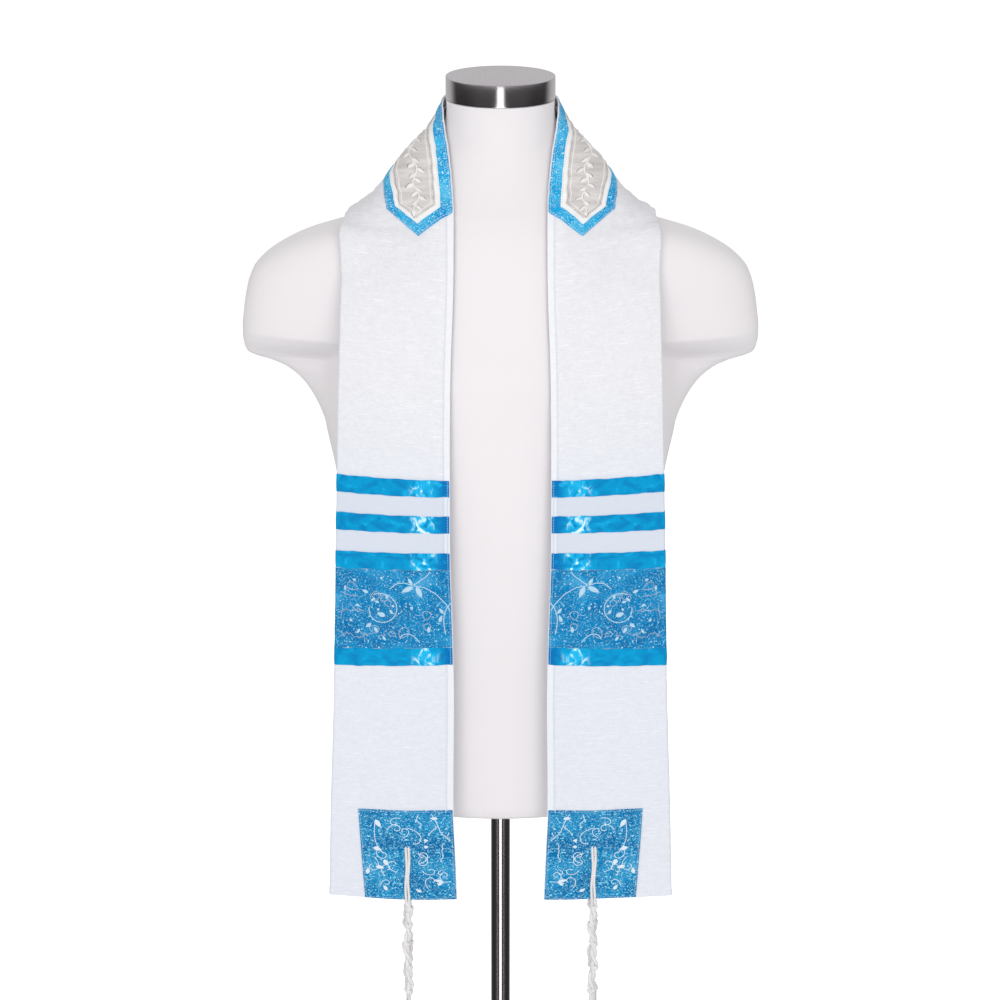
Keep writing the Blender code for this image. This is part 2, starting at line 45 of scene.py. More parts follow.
TOP = 1450.0
FORM = np.array([  # depth, half width, core half width, core front, core back, ridge depth
    (25.8, 53.4, 53.4, 53, 53, 20), (34, 53, 53, 52.3, 52.3, 20), (44, 54, 53, 52, 53, 22),
    (57, 60.5, 53.5, 52.8, 55, 26), (67, 68.5, 54, 53.5, 58, 30), (77, 78, 58, 56.5, 62.5, 34),
    (90, 90, 64, 61, 68, 40), (104, 102, 73, 67, 75, 45), (118, 113.5, 84, 74, 81, 49),
    (130, 126, 95, 81, 86, 52), (138, 137.5, 103, 84.5, 89, 54), (145, 148, 110, 87.5, 91.5, 55.5),
    (151, 168, 117, 89.5, 93, 57), (158, 192, 123, 91.5, 94.5, 58), (168, 214, 130, 94, 96.5, 60),
    (181, 233.5, 140, 97, 99, 62), (196, 246.5, 149, 99.5, 101, 64),
    (215, 253, 157, 102, 103, 65.5), (240, 257, 165, 106, 104.5, 66.5),
    (256, 258.5, 169, 108, 105, 65), (264, 258.5, 171, 109, 105, 57),
    (273, 257.3, 174, 110, 105, 43), (281, 254.5, 176, 111, 105, 29),
    (285.5, 246, 177.5, 111.5, 105, 25), (290, 231, 178.5, 112, 105, 25),
    (298, 214, 179, 112, 104.5, 27), (310, 200, 179.2, 112, 104, 28),
    (328, 187.5, 179.5, 112, 103, 29), (353, 177, 177, 112, 101.5, 30),
    (399, 168, 168, 110, 97, 30), (450, 160, 160, 107, 93, 30), (510, 152, 152, 104, 90, 30),
    (590, 147, 147, 101.5, 90, 30), (738, 145, 145, 98, 92, 30),
    (750, 142.5, 142.5, 95.5, 89.5, 30), (755, 134, 134, 87, 81, 30),
])
FINE = 0.5  # step of depth between the rows that are worked out from the table
CORE_ROUND, RIDGE_ROUND = 2.1, 2.5  # powers of the two rounded ovals
POLE_R = 9.9
POLE_BORE = POLE_R + 0.35
POLE_SOCKET = 7.0


def eased(x, xs, ys):
    """Smooth curve through rows (xs, ys). Each row's slope is the harmonic mean of the slopes
    beside it, or zero at a turn, and a cubic joins the rows."""
    step = np.diff(xs)
    rise = np.diff(ys) / step
    mean = 2 * rise[:-1] * rise[1:] / np.where(rise[:-1] + rise[1:] == 0, 1, rise[:-1] + rise[1:])
    slope = np.concatenate([rise[:1], np.where(rise[:-1] * rise[1:] > 0, mean, 0), rise[-1:]])
    k = np.clip(np.searchsorted(xs, x, side="right") - 1, 0, len(step) - 1)
    t = np.clip((x - xs[k]) / step[k], 0, 1)
    rest = 1 - t
    return (
        ys[k] * (1 + 2 * t) * rest**2 + ys[k + 1] * (3 - 2 * t) * t**2
        + step[k] * (slope[k] * t * rest**2 - slope[k + 1] * t**2 * rest)
    )


FORM_DOWN = np.arange(FORM[0, 0], FORM[-1, 0] + FINE, FINE)
FORM_FINE = [eased(FORM_DOWN, FORM[:, 0], FORM[:, k]) for k in range(1, 6)]


def superellipse(angle, wide, deep, power):
    """Radius of a rounded oval: (|cos|/wide)^power + (|sin|/deep)^power, to the -1/power."""
    across = (np.abs(np.cos(angle)) / wide) ** power
    along = (np.abs(np.sin(angle)) / deep) ** power
    return (across + along) ** (-1.0 / power)


def form_radius(angle, down):
    """Radius of the form: its core and its shoulder ridge, added as eighth powers."""
    half, core, front, back, ridge = (np.interp(down, FORM_DOWN, row) for row in FORM_FINE)
    reach = np.maximum(half**8 - core**8, 1.0) ** 0.125
    depth = np.where(np.sin(angle) < 0, front, back)
    body = superellipse(angle, core, depth, CORE_ROUND)
    arms = superellipse(angle, reach, ridge, RIDGE_ROUND)
    return (body**8 + arms**8) ** 0.125


def lattice(rows, columns, wrap=False):
    """Quads between the neighbours of a grid of points; wrap joins the last column to the first."""
    i = np.arange(rows - 1)[:, None]
    j = np.arange(columns if wrap else columns - 1)[None, :]
    a = i * columns + j
    b = i * columns + (j + 1) % columns
    return np.stack([a, b, b + columns, a + columns], axis=-1).reshape(-1, 4)


def placed(name, data):
    """A new object, at the origin."""
    made = bpy.data.objects.new(name, data)
    bpy.context.scene.collection.objects.link(made)
    return made


def piece(name, points, faces, finish, slot, maps=None, sharp=50, replaces=None):
    """A shown piece from points in millimetres and quads of point numbers. The signed volume
    tells if the faces point inwards. Maps are each point's place on the flat cloth."""
    points = np.asarray(points, float).reshape(-1, 3)
    p = points[faces] - points.mean(axis=0)
    volume = np.einsum("ij,ij", p[:, 0], np.cross(p[:, 1], p[:, 2]))
    volume += np.einsum("ij,ij", p[:, 0], np.cross(p[:, 2], p[:, 3]))
    if volume < 0:
        faces = faces[:, [2, 1, 0, 3]]
    mesh = bpy.data.meshes.new(name)
    mesh.from_pydata((points * 0.001 + (0, 0, TOP * 0.001)).tolist(), [], faces.tolist())
    if maps is not None:
        corner = np.empty(len(mesh.loops), int)
        mesh.loops.foreach_get("vertex_index", corner)
        mesh.uv_layers.new(name="cut").data.foreach_set("uv", maps[corner].ravel())
    mesh.materials.append(finish.material)
    mesh.shade_smooth()
    mesh.set_sharp_from_angle(angle=math.radians(sharp))
    made = placed(name, mesh)
    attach(made, "root")
    if replaces:
        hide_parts(replaces)
    return made


def tone(red, green, blue):
    """A colour as seen, 0 to 255, as the light that it reflects."""
    seen = np.array([red, green, blue]) / 255
    light = np.where(seen > 0.04045, ((seen + 0.055) / 1.055) ** 2.4, seen / 12.92)
    return (*[float(v) for v in light], 1.0)


class Thread:
    """One output of a finish's nodes. Arithmetic on it adds the Math nodes that work it out."""

    def __init__(self, finish, socket):
        self.finish = finish
        self.socket = socket

    def work(self, operation, *values):
        return self.finish.node("Math", {"operation": operation}, dict(enumerate(values)))

    def __add__(self, other):
        return self.work("ADD", self, other)

    def __sub__(self, other):
        return self.work("SUBTRACT", self, other)

    def __rsub__(self, other):
        return self.work("SUBTRACT", other, self)

    def __mul__(self, other):
        return self.work("MULTIPLY", self, other)

    def __truediv__(self, other):
        return self.work("DIVIDE", self, other)

    def __pow__(self, other):
        return self.work("POWER", self, other)

    __radd__ = __add__
    __rmul__ = __mul__


class Finish:
    """A material: constants for its shader's sockets, and nodes for what changes over it. Its
    patterns follow the piece in space or, where cut is true, the flat cloth it is cut from."""

    def __init__(self, name, cut=False, **constants):
        self.cut = cut
        self.material = bpy.data.materials.new(name)
        self.material.use_nodes = True
        self.shader = self.material.node_tree.nodes["Principled BSDF"]
        for socket, value in constants.items():
            self.shader.inputs[socket.replace("_", " ")].default_value = value

    def feed(self, socket, value):
        if isinstance(value, Thread):
            self.material.node_tree.links.new(value.socket, socket)
        else:
            socket.default_value = value

    def node(self, kind, settings=None, inputs=None, output=0):
        """A node of that kind: its settings first, then its inputs."""
        made = self.material.node_tree.nodes.new("ShaderNode" + kind)
        for key, value in (settings or {}).items():
            setattr(made, key, value)
        for key, value in (inputs or {}).items():
            self.feed(made.inputs[key], value)
        return Thread(self, made.outputs[output])

    def give(self, socket, value):
        self.feed(self.shader.inputs[socket], value)

    def blend(self, share, first, second):
        """First colour where share is 0, second where it is 1. The node's colours are its sockets
        6 and 7, and its output 2."""
        return self.node("Mix", {"data_type": "RGBA"}, {0: share, 6: first, 7: second}, 2)

    def step(self, value, low, high):
        """0 below low, 1 above high, and a smooth rise between them."""
        inputs = {"Value": value, "From Min": low, "From Max": high}
        return self.node("MapRange", {"interpolation_type": "SMOOTHSTEP"}, inputs)

    def between(self, value, rise, fall):
        """1 from the end of the rise to the start of the fall, and 0 outside them."""
        return self.step(value, *rise) * (1.0 - self.step(value, *fall))

    def place(self):
        """Where a point lies, on the flat cloth or in space, in metres."""
        if self.cut:
            return self.node("UVMap", {"uv_map": "cut"})
        return self.node("TexCoord", output="Object")

    def axis(self, number):
        """One coordinate of the place."""
        return self.node("SeparateXYZ", inputs={0: self.place()}, output=number)

    def noise(self, x, y, z=1.0, detail=2.0, warp=0.0):
        """Cloudy noise of about so many waves in a metre each way."""
        place = self.node("VectorMath", {"operation": "MULTIPLY"}, {0: self.place(), 1: (x, y, z)})
        inputs = {"Vector": place, "Scale": 1.0, "Detail": detail, "Distortion": warp}
        return self.node("TexNoise", inputs=inputs)

    def bump(self, height, millimetres):
        """Height, from 0 to 1, as a relief of that many millimetres."""
        raised = {"Height": height, "Distance": millimetres * 0.001, "Strength": 1.0}
        self.give("Normal", self.node("Bump", inputs=raised))


jersey = Finish("white_jersey_knit", Roughness=0.88, Sheen_Weight=0.15, Sheen_Roughness=0.4)
drift = jersey.noise(5, 5, 5, detail=3)
knit = jersey.noise(1500, 1500, 825)
blotch = drift * 0.7 + knit * 0.3
jersey.give("Base Color", jersey.blend(blotch, tone(230, 226, 228), tone(241, 237, 239)))
jersey.bump(knit * 0.6 + drift * 0.4, 0.10)

# The mesh's columns lie closer on the shoulders, and its rows where the form bends more.
AROUND = 208
ROWS = (
    (FORM[0, 0], 130, 44), (132, 200, 48), (203, 250, 16), (252, 320, 60), (324, 738, 82),
    (739, FORM[-1, 0], 20),
)
angle = np.linspace(-math.pi, math.pi, AROUND + 1)[:-1]
angle = np.arctan2(0.6 * np.sin(angle), np.cos(angle))
down = np.concatenate([np.linspace(*rows) for rows in ROWS])
radius = form_radius(angle[None, :], down[:, None])
over_neck = radius[0] * np.array([0.0, 0.5, 0.96])[:, None]
floor = radius[-1] * np.array([0.97, 0.9, 0.7, 0.4])[:, None]
bore = np.full((2, AROUND), POLE_BORE)
radius = np.concatenate([over_neck, radius, floor, bore])
down = np.concatenate([[down[0]] * 3, down, [down[-1]] * 5, [down[-1] - POLE_SOCKET]])
depth = np.repeat(down[:, None], AROUND, 1)
shell = np.stack([radius * np.cos(angle), radius * np.sin(angle), -depth], -1)
torso = piece(
    "torso_in_jersey", shell, lattice(len(down), AROUND, True), jersey, "white_jersey",
    replaces="dress_form_torso",
)


# Neck cap, pole and base: turned and brushed steel. The cap closes the neck, the pole stands in
# a socket under the torso, and the round foot carries it.

CENTRE = 0.01
CAP_R = 54.0
CAP_TOP = TOP - 3.0
CAP_BOTTOM = TOP - 25.5
BASE_R = 160.0
BASE_HIGH = 8.0
POLE_FOOT = 4.0
POLE_TOP = TOP - FORM[-1, 0] + 59

steel = Finish("brushed_steel", Metallic=1.0)
lines = steel.noise(40, 40, 6200, detail=3)
top_lines = steel.noise(2600, 26, detail=3)
on_top = steel.step(steel.axis(2), (CAP_TOP - 0.4) * 0.001, (CAP_TOP - 0.1) * 0.001)
brushed = on_top * top_lines + (1.0 - on_top) * lines
steel.give("Roughness", 0.10 + 0.08 * brushed + 0.2 * on_top)
# The top face is rougher, its own brushing, and lighter in colour: painted light on the face turned
# up to the sky.
grey = brushed * 0.8 + 0.4 * on_top
steel.give("Base Color", steel.blend(grey, tone(184, 178, 181), tone(228, 223, 227)))
steel.bump(brushed, 0.008)


def turned(name, rows, node, sides=144):
    """A round piece: rows of radius and height are turned round the upright axis."""
    turn = np.linspace(0, 2 * math.pi, sides + 1)[:-1]
    rows = np.array(rows, float)
    ring = np.stack([np.cos(turn), np.sin(turn), 0 * turn], axis=-1)
    points = rows[:, None, :1] * ring + np.stack([0, 0, 1] * rows[:, None, 1:] - (0, 0, TOP))
    faces = lattice(len(rows), sides, True)
    piece(name, points, faces, steel, "brushed_steel", sharp=35, replaces=node)


def rounded(edge_r, level, size, start, turns=6):
    """Rows of a quarter round at a piece's outer edge: at its bottom level from a start angle
    of -90 degrees, or at its top level from 0."""
    way = np.radians(np.linspace(start, start + 90, turns))
    middle = level + size if start < 0 else level - size
    return np.stack([edge_r - size + size * np.cos(way), middle + size * np.sin(way)], 1).tolist()


turned("turned_neck_cap", [
    (CENTRE, CAP_BOTTOM), *rounded(CAP_R, CAP_BOTTOM, 0.8, -90), *rounded(CAP_R, CAP_TOP, 0.9, 0),
    (CAP_R * 0.6, CAP_TOP), (CENTRE, CAP_TOP),
], "neck_cap")
turned("stand_pole", [
    (CENTRE, POLE_FOOT), (POLE_R, POLE_FOOT), (POLE_R, 300.0), (POLE_R, 560.0),
    (POLE_R, POLE_TOP), (CENTRE, POLE_TOP),
], "pole", 64)
turned("round_foot", [
    (POLE_BORE, 0.0), (BASE_R - 1.0, 0.0), *rounded(BASE_R, 0.0, 1.0, -90, 4),
    *rounded(BASE_R, BASE_HIGH, 3.0, 0), (60.0, BASE_HIGH), (POLE_BORE, BASE_HIGH),
    (POLE_BORE, 0.0),
], "floor_base", 160)


# Shawl: one strip of soft white cloth, 460 by 1856 mm, with fine slubs, hemmed all round. It is
# folded in half along its length and in half again, so that four layers hang over the shoulders.
# The outermost layer is the front one, which goes round the outer fold to the back.

CLOTH = 6.0  # thickness of the four layers
WALL = 1.2  # thickness at the neck edge
LAYER = 0.5  # half the thickness of one layer
WIDTH = 115.0  # from the neck edge to the outer fold
HALF = 928.0  # from the centre back to a hem
SPARE = 35.0  # how far the tables of the edges run on past a hem
EDGE_POINTS = 387
REST = 2.8  # gap between the form and the cloth
CROWN = 5.0  # how far the cloth bows out between its edges
NUDGE = 0.5  # step over which the form's slope is taken
NECK_EDGE = np.array([  # x, y and depth of the front face's neck edge, centre back to past the hem
    (0, 58.5, 27), (22, 54.5, 27), (42, 42, 26), (54.5, 21.5, 25), (58, 3, 26), (56.3, -13, 37),
    (52.58, -30.41, 60.94), (49.09, -44.17, 78.23), (47.59, -55.88, 95.33), (46.06, -67.62, 113),
    (45.06, -75.79, 124), (45.32, -88.6, 148.3), (45.34, -97.36, 176.6), (46.32, -104, 215.1),
    (48.55, -110.6, 265.6), (49.73, -117, 345.4), (49.73, -117, 383.5), (49.94, -117.1, 464),
    (47.35, -117, 548.7), (46.56, -117.1, 612.2), (48.09, -117, 732.1), (45.79, -117.1, 776.7),
    (43.98, -117.1, 830.9), (42.68, -117.1, 866.1),
])
OUTER_EDGE = np.array([  # the same for the outer fold
    (0, 98, 141), (40, 97, 142), (80, 90, 142), (112, 70, 140), (136, 42, 138), (149, 15, 138),
    (154, -10, 140), (156, -34, 150), (156, -58, 174), (157, -78, 211), (158, -90, 250),
    (160, -97, 310), (161.7, -101, 373), (163, -110, 440), (164, -117, 506), (167, -119, 612),
    (171.5, -120, 720), (173.4, -119, 776), (174.6, -120, 824), (175.3, -120, 860),
])
SLACK = np.array([  # distance from centre back, creep at the neck edge and at the outer fold
    (0, 0, 0), (120, 3.5, 0), (208, 5, -3), (300, 2.5, 0), (480, -1.7, 2.8), (560, -2.2, 3.8),
    (665, -2.8, 4), (829, -0.6, 1), (928, 0, 0), (970, 0, 0),
])


def clear_of_form(points):
    """Distance off the form along its outward slope, and that slope."""
    def off(at):
        turn = np.arctan2(at[..., 1], at[..., 0])
        return np.hypot(at[..., 0], at[..., 1]) - form_radius(turn, -at[..., 2])
    here = off(points)[..., None]
    slope = [(off(points + move) - here[..., 0]) / NUDGE for move in NUDGE * np.eye(3)]
    slope = np.stack(slope, axis=-1)
    size = np.linalg.norm(slope, axis=-1, keepdims=True)
    return here / size, slope / size


def laid_on_form(points, gap):
    """Points nearer to the form than the gap, moved straight out to it in a gradual curve."""
    gap = gap[..., None]
    wanted = gap + np.logaddexp(0.0, clear_of_form(points)[0] - gap)
    for _ in range(3):
        off, out = clear_of_form(points)
        points = points + out * (wanted - off)
    return points


def run_along(line):
    """Distance from a line's start at each of its points."""
    return np.concatenate([[0.0], np.cumsum(np.linalg.norm(np.diff(line, axis=0), axis=1))])


def evened(rows, passes=6, step=0.8, count=None):
    """A count of even points along a line through rows, or one for every step of its length,
    with its corners averaged away."""
    line = np.asarray(rows, float)
    for _ in range(passes):
        run = run_along(line)
        even = np.linspace(0.0, run[-1], count or max(int(run[-1] / step), 8))
        line = np.stack([np.interp(even, run, column) for column in line.T], axis=1)
        line[1:-1] = 0.25 * line[:-2] + 0.5 * line[1:-1] + 0.25 * line[2:]
    return line


def whole_edge(rows):
    """One edge of the strip from hem to hem, from the table of its right half."""
    right = rows * (1.0, 1.0, -1.0)
    left = (right * (-1.0, 1.0, 1.0))[:0:-1]
    return evened(np.concatenate([left, right]), 16, count=EDGE_POINTS)


def unit(vectors):
    """Vectors divided by their lengths."""
    return vectors / np.linalg.norm(vectors, axis=-1, keepdims=True)


def outward(grid):
    """Normals of a grid of points from its steps along and across."""
    return unit(np.cross(np.gradient(grid, axis=0), np.gradient(grid, axis=1)))


def creases(along, across):
    """Height of the cloth's soft creases in millimetres. It is a sum of waves: long folds that
    run down from the neckband to the shoulder, short ones across them at the outer fold, crinkles,
    and a slack wave at the hem."""
    far = np.abs(along)
    hand = np.sign(along)
    shoulder = np.exp(-(((far - 215) / 75) ** 2))
    lean = far * 0.55 + across * 0.9
    long_folds = np.sin(lean / 9.5 + 0.8 * hand) * np.sin(across / 31 + 0.4) * shoulder
    by_fold = np.clip((across - 35) / 30, 0, 1) * np.exp(-(((far - 208) / 42) ** 2))
    slant = far * 0.9 + across * 0.5 + 6 * np.sin(across / 19)
    short_folds = 0.4 * np.sin(slant / 3.4 + hand) * by_fold
    crinkle = np.zeros_like(far)
    grow = np.random.default_rng(7)
    for _ in range(22):
        size = grow.uniform(9, 22)
        turn = grow.uniform(0, math.pi)
        start = grow.uniform(0, 2 * math.pi)
        way = far * math.cos(turn) + across * math.sin(turn) + 13 * hand
        crinkle += np.sin(2 * math.pi * way / size + start)
    crinkle *= 0.075 * (0.25 + shoulder + 0.5 * np.exp(-(((far - 120) / 60) ** 2)))
    hang = 0.5 * np.sin(far / 61 + across / 40 + hand) * np.clip((far - 300) / 200, 0, 1)
    hem = 0.9 * np.sin(across / 17 + 1.3 * hand) * np.clip((far - 860) / 68, 0, 1) ** 2
    return long_folds + short_folds + crinkle + hang + hem


mesh_along = np.linspace(-HALF - 16.0, HALF + 16.0, 631)
mesh_across = np.linspace(0.0, WIDTH, 47)
along, across = np.meshgrid(mesh_along, mesh_across, indexing="ij")
stations = np.linspace(-HALF - SPARE, HALF + SPARE, EDGE_POINTS)
edges = []
for rows, slip in zip((NECK_EDGE, OUTER_EDGE), SLACK.T[1:]):
    crept = along + np.sign(along) * np.interp(np.abs(along), SLACK[:, 0], slip)
    edge = [np.interp(crept, stations, line) for line in whole_edge(rows).T]
    edges.append(np.stack(edge, axis=-1))
share = (across / WIDTH)[..., None]
face = edges[0] + (edges[1] - edges[0]) * share
away = unit(face * (1.0, 1.0, 0.0))
under = np.clip(across / 11.0, 0.0, 1.0)
under = WALL + (CLOTH - WALL) * under * under * (3 - 2 * under)
face = laid_on_form(face + away * CROWN * 4.0 * share * (1.0 - share), under + REST)
face = face + outward(face) * creases(along, across)[..., None]
normal = outward(face)


def on_shawl(along, across, deep):
    """The point of the folded shawl that is so far along it from the centre back, across it from
    the neck edge, and behind its front face. A negative depth lies on top of the cloth."""
    given = (np.asarray(value, float) for value in (along, across, deep))
    along, across, deep = np.broadcast_arrays(*given)
    x = (along - mesh_along[0]) / (mesh_along[1] - mesh_along[0])
    y = across / (mesh_across[1] - mesh_across[0])
    i = np.clip(x.astype(int), 0, len(mesh_along) - 2)
    j = np.clip(y.astype(int), 0, len(mesh_across) - 2)
    a, b = (x - i)[..., None], (y - j)[..., None]
    found = [
        (field[i, j] * (1 - a) + field[i + 1, j] * a) * (1 - b)
        + (field[i, j + 1] * (1 - a) + field[i + 1, j + 1] * a) * b
        for field in (face, normal)
    ]
    return found[0] - found[1] * deep[..., None]


def slab(front, back):
    """Points and quads of a closed sheet between two grids: the front, the back turned round,
    and a strip round the edge."""
    rows, columns = front.shape[:2]
    count = rows * columns
    number = np.arange(count).reshape(rows, columns)
    rim = np.concatenate([number[0, :-1], number[:-1, -1], number[-1, :0:-1], number[:0:-1, 0]])
    after = np.roll(rim, -1)
    quads = lattice(rows, columns)
    edge = np.stack([after, rim, rim + count, after + count], axis=1)
    points = np.concatenate([front.reshape(-1, 3), back.reshape(-1, 3)])
    return points, np.concatenate([quads, quads[:, ::-1] + count, edge])


def sheet(name, front, back, cut, finish, slot, node):
    """Cloth between two grids of points. Cut is its place on the flat cloth, across and along."""
    points, quads = slab(front, back)
    place = np.stack(np.broadcast_arrays(*cut), axis=-1).reshape(-1, 2) * 0.001
    return piece(name, points, quads, finish, slot, np.concatenate([place] * 2), replaces=node)


def folded_path():
    """The strip's middle line in section, as across and depth, from the free front edge round
    the outer fold, back to the neck edge, round that fold, and in and out again between."""
    def bend(across, deep, size, start, end, steps):
        """Part of a circle about a place, between two angles in degrees."""
        way = np.radians(np.linspace(start, end, steps))
        return np.stack([across + size * np.cos(way), deep + size * np.sin(way)], axis=1)

    def run(line, deep):
        """A straight at one depth."""
        return np.stack([line, np.full(len(line), deep)], axis=1)

    return np.concatenate([
        run(np.array([0.0, 1.0, 3.0, 5.0, 5.6, 6.4]), 0.5), run(np.linspace(9.5, 110.5, 31), 0.5),
        bend(112.5, 3.0, 2.5, -90, 90, 9), run(np.linspace(108.5, 12.0, 21), 5.5),
        bend(9.6, 4.75, 0.75, 90, 270, 5), run(np.linspace(15.0, 106.0, 8), 4.0),
        bend(110.4, 3.0, 1.0, 90, -90, 5), run(np.linspace(104.0, 14.0, 8), 2.0),
        run(np.array([10.5, 8.2]), 2.0),
    ])


HEM_WIDE = 6.1
path = folded_path()
way = unit(np.gradient(path, axis=0))
out = np.stack([way[:, 1], -way[:, 0]], axis=1)
run_out = run_along(path)
close_rows = np.array([0.9, 2.6, 4.4, 5.2, 6.0, 7.0])
rows_at = np.concatenate([np.linspace(-HALF, HALF, 465), HALF - close_rows, close_rows - HALF])
rows_at = np.unique(rows_at)[:, None]
inside_hem = np.minimum(run_out, HALF - np.abs(rows_at))
hem_height = 0.35 * np.clip((HEM_WIDE - inside_hem) / 0.8, 0, 1)[..., None]
two_faces = [
    on_shawl(rows_at, np.maximum(line[..., 0], -0.4), line[..., 1])
    for line in (path + out * (LAYER + hem_height), path - out * (LAYER + 0.3 * hem_height))
]

slub = Finish("white_slub_cloth", cut=True, Roughness=0.85, Specular_IOR_Level=0.25)
weft = slub.noise(120, 2600, detail=3, warp=0.4)
warp = slub.noise(2600, 160, detail=3, warp=0.4)
crumple = slub.noise(210, 210, detail=4, warp=1.2)
thick = slub.step(slub.noise(38, 700), 0.60, 0.78)
ripples = slub.noise(90, 420, warp=1.2)
cloth_height = 0.35 * weft + 0.25 * warp + 0.3 * crumple + 0.35 * thick
far_down = slub.node("Math", {"operation": "ABSOLUTE"}, {0: slub.axis(1)})
low_down = slub.step(far_down, 0.36, 0.52)
# Where the white shows between the three upper ribbons it turns blue-grey: painted blue light
# bounced off the satin.
blue_bounce_zone = slub.between(far_down, (0.472, 0.486), (0.572, 0.580))
shade = slub.blend(low_down, tone(224, 224, 229), tone(219, 223, 232))
light = slub.blend(low_down, tone(250, 250, 252), tone(243, 244, 249))
# The white follows the slubs' own tone, and also the crinkles and ripples: painted shade and
# painted highlights of the crinkles.
white = slub.blend(slub.step(0.85 * cloth_height + 0.2 * ripples, 0.28, 0.84), shade, light)
with_painted_bounce = slub.blend(blue_bounce_zone * 0.75, white, tone(210, 218, 231))
from_edge = slub.axis(0)
doubled = 1.0 - slub.step(from_edge, 0.0048, 0.0056)
# A thin grey-blue line 5 to 7.6 mm from the neck edge, where the turned hem ends, is a painted
# shadow of the hem's step. Inside it the doubled cloth is whiter.
hem_shadow_line = slub.between(from_edge, (0.0050, 0.0058), (0.0064, 0.0076))
edged = slub.blend(doubled * 0.4, with_painted_bounce, tone(246, 248, 252))
slub.give("Base Color", slub.blend(hem_shadow_line * 0.28, edged, tone(200, 206, 220)))
slub.bump(cloth_height + (1.6 - 1.1 * slub.step(far_down, 0.10, 0.45)) * ripples, 0.30)
shawl = sheet(
    "folded_shawl", *two_faces, (run_out, rows_at), slub, "white_slub_cloth", "shawl_cloth"
)


# Hem stitches: a running stitch of white cotton thread, down the free front edge and across both
# ends, which holds the turned hem.

STITCH = 2.1
THREAD_FOOT = -0.12  # how deep a thread's flat underside lies in the cloth
TAPER = (0.02, 0.75)  # share of the width and height at a thread's last two points


def ribs(along, across, lift, wide, high):
    """Raised threads on the shawl's front face: a half-round section on every point of each row
    of places. The first and last point of a row close to nothing."""
    run_a, run_b = np.gradient(along, axis=1), np.gradient(across, axis=1)
    size = np.hypot(run_a, run_b) + 1e-9
    turn = np.radians([0, 40, 90, 140, 180])
    sideways = np.append(np.cos(turn), 0.0) * wide / 2
    rise = np.append(np.sin(turn) * high, THREAD_FOOT)
    thin = np.ones(along.shape[1])
    thin[[0, -1]], thin[[1, -2]] = TAPER
    off = sideways * thin[:, None]
    a = along[..., None] - off * (run_b / size)[..., None]
    b = across[..., None] + off * (run_a / size)[..., None]
    points = on_shawl(a, np.clip(b, 0.0, WIDTH), -(lift + rise * thin[:, None]))
    quads = lattice(along.shape[1], 6, True)
    start = np.arange(len(along))[:, None, None] * (along.shape[1] * 6)
    return points.reshape(-1, 3), (quads[None] + start).reshape(-1, 4)


def stitched(line, lift, pitch=3.1, wide=0.42, high=0.22):
    """A running stitch along a line of places: a short thread in every pitch of the way."""
    line = np.asarray(line, float)
    run = run_along(line)
    first = np.arange(0.5 * (pitch - STITCH), run[-1] - STITCH, pitch)
    at = first[:, None] + STITCH * np.array([0.0, 0.12, 0.5, 0.88, 1.0])
    return ribs(*(np.interp(at, run, line[:, k]) for k in (0, 1)), lift, wide, high)


def bound(parts):
    """Several pieces of one thread or cord as one list of points and quads."""
    start = np.cumsum([0] + [len(points) for points, _ in parts[:-1]])
    quads = [faces + n for (_, faces), n in zip(parts, start)]
    return np.concatenate([points for points, _ in parts]), np.concatenate(quads)


def dyed(name, shade, light):
    """A plain sewing or embroidery thread, its plies lighter and darker."""
    made = Finish(name, Roughness=0.7, Specular_IOR_Level=0.2)
    made.give("Base Color", made.blend(made.noise(1900, 1900, 1900), shade, light))
    return made


def sewn(name, parts, finish, slot):
    """Threads as one piece, which moves with the shawl."""
    piece(name, *bound(parts), finish, slot, sharp=80)


white_thread = dyed("white_sewing_thread", tone(206, 210, 222), tone(232, 235, 243))
front_hem = np.stack([np.linspace(-HALF + 3, HALF - 3, 900), np.full(900, 5.6)], axis=1)
end_hem = np.stack([np.full(80, HALF - 5.2), np.linspace(2.0, 111.0, 80)], axis=1)
hems = [stitched(line, 0.3) for line in (front_hem, end_hem, end_hem * (-1, 1))]
sewn("hem_stitches", hems, white_thread, "white_slub_cloth")


# Ribbons: four bands of blue satin across each end, sewn along both edges. They run with the
# cloth round its outer fold. The satin puckers a little between the two seams.

SIDES = ((-1, "left"), (1, "right"))
RIBBONS = ((432.0, 449.3), (394.5, 412.0), (356.0, 373.4), (254.8, 273.4))
ON_FRONT, ON_FOLD, ON_BACK = 44, 9, 24  # points of a band's line over the front, fold and back
BAND_LIFT = 0.3


def wrapped(low, high, thick, height, rows):
    """A band round the end, between two distances up from the hem: the places across and depths
    of its two faces, the distance up of each row, and the distance round of each column. It
    runs over the front, round the outer fold and home. Height says how much further its outer
    face stands off."""
    turn = np.radians(np.linspace(-80, 80, ON_FOLD))
    sideways = np.concatenate([np.zeros(ON_FRONT), np.cos(turn), np.zeros(ON_BACK)])
    behind = np.concatenate([np.full(ON_FRONT, -1.0), np.sin(turn), np.ones(ON_BACK)])
    over, home = np.linspace(0.7, 112.0, ON_FRONT), np.linspace(112.0, 11.0, ON_BACK)
    across = np.concatenate([over, 112.5 + 2.5 * np.cos(turn), home])
    deep = CLOTH / 2 * (behind + 1)
    up = np.linspace(low, high, rows)[:, None]
    two_rises = (BAND_LIFT + thick + height(across, up), BAND_LIFT + 0 * up)
    two_faces = [(across + sideways * rise, deep + behind * rise) for rise in two_rises]
    return two_faces, up, run_along(np.stack([across, deep], axis=1))


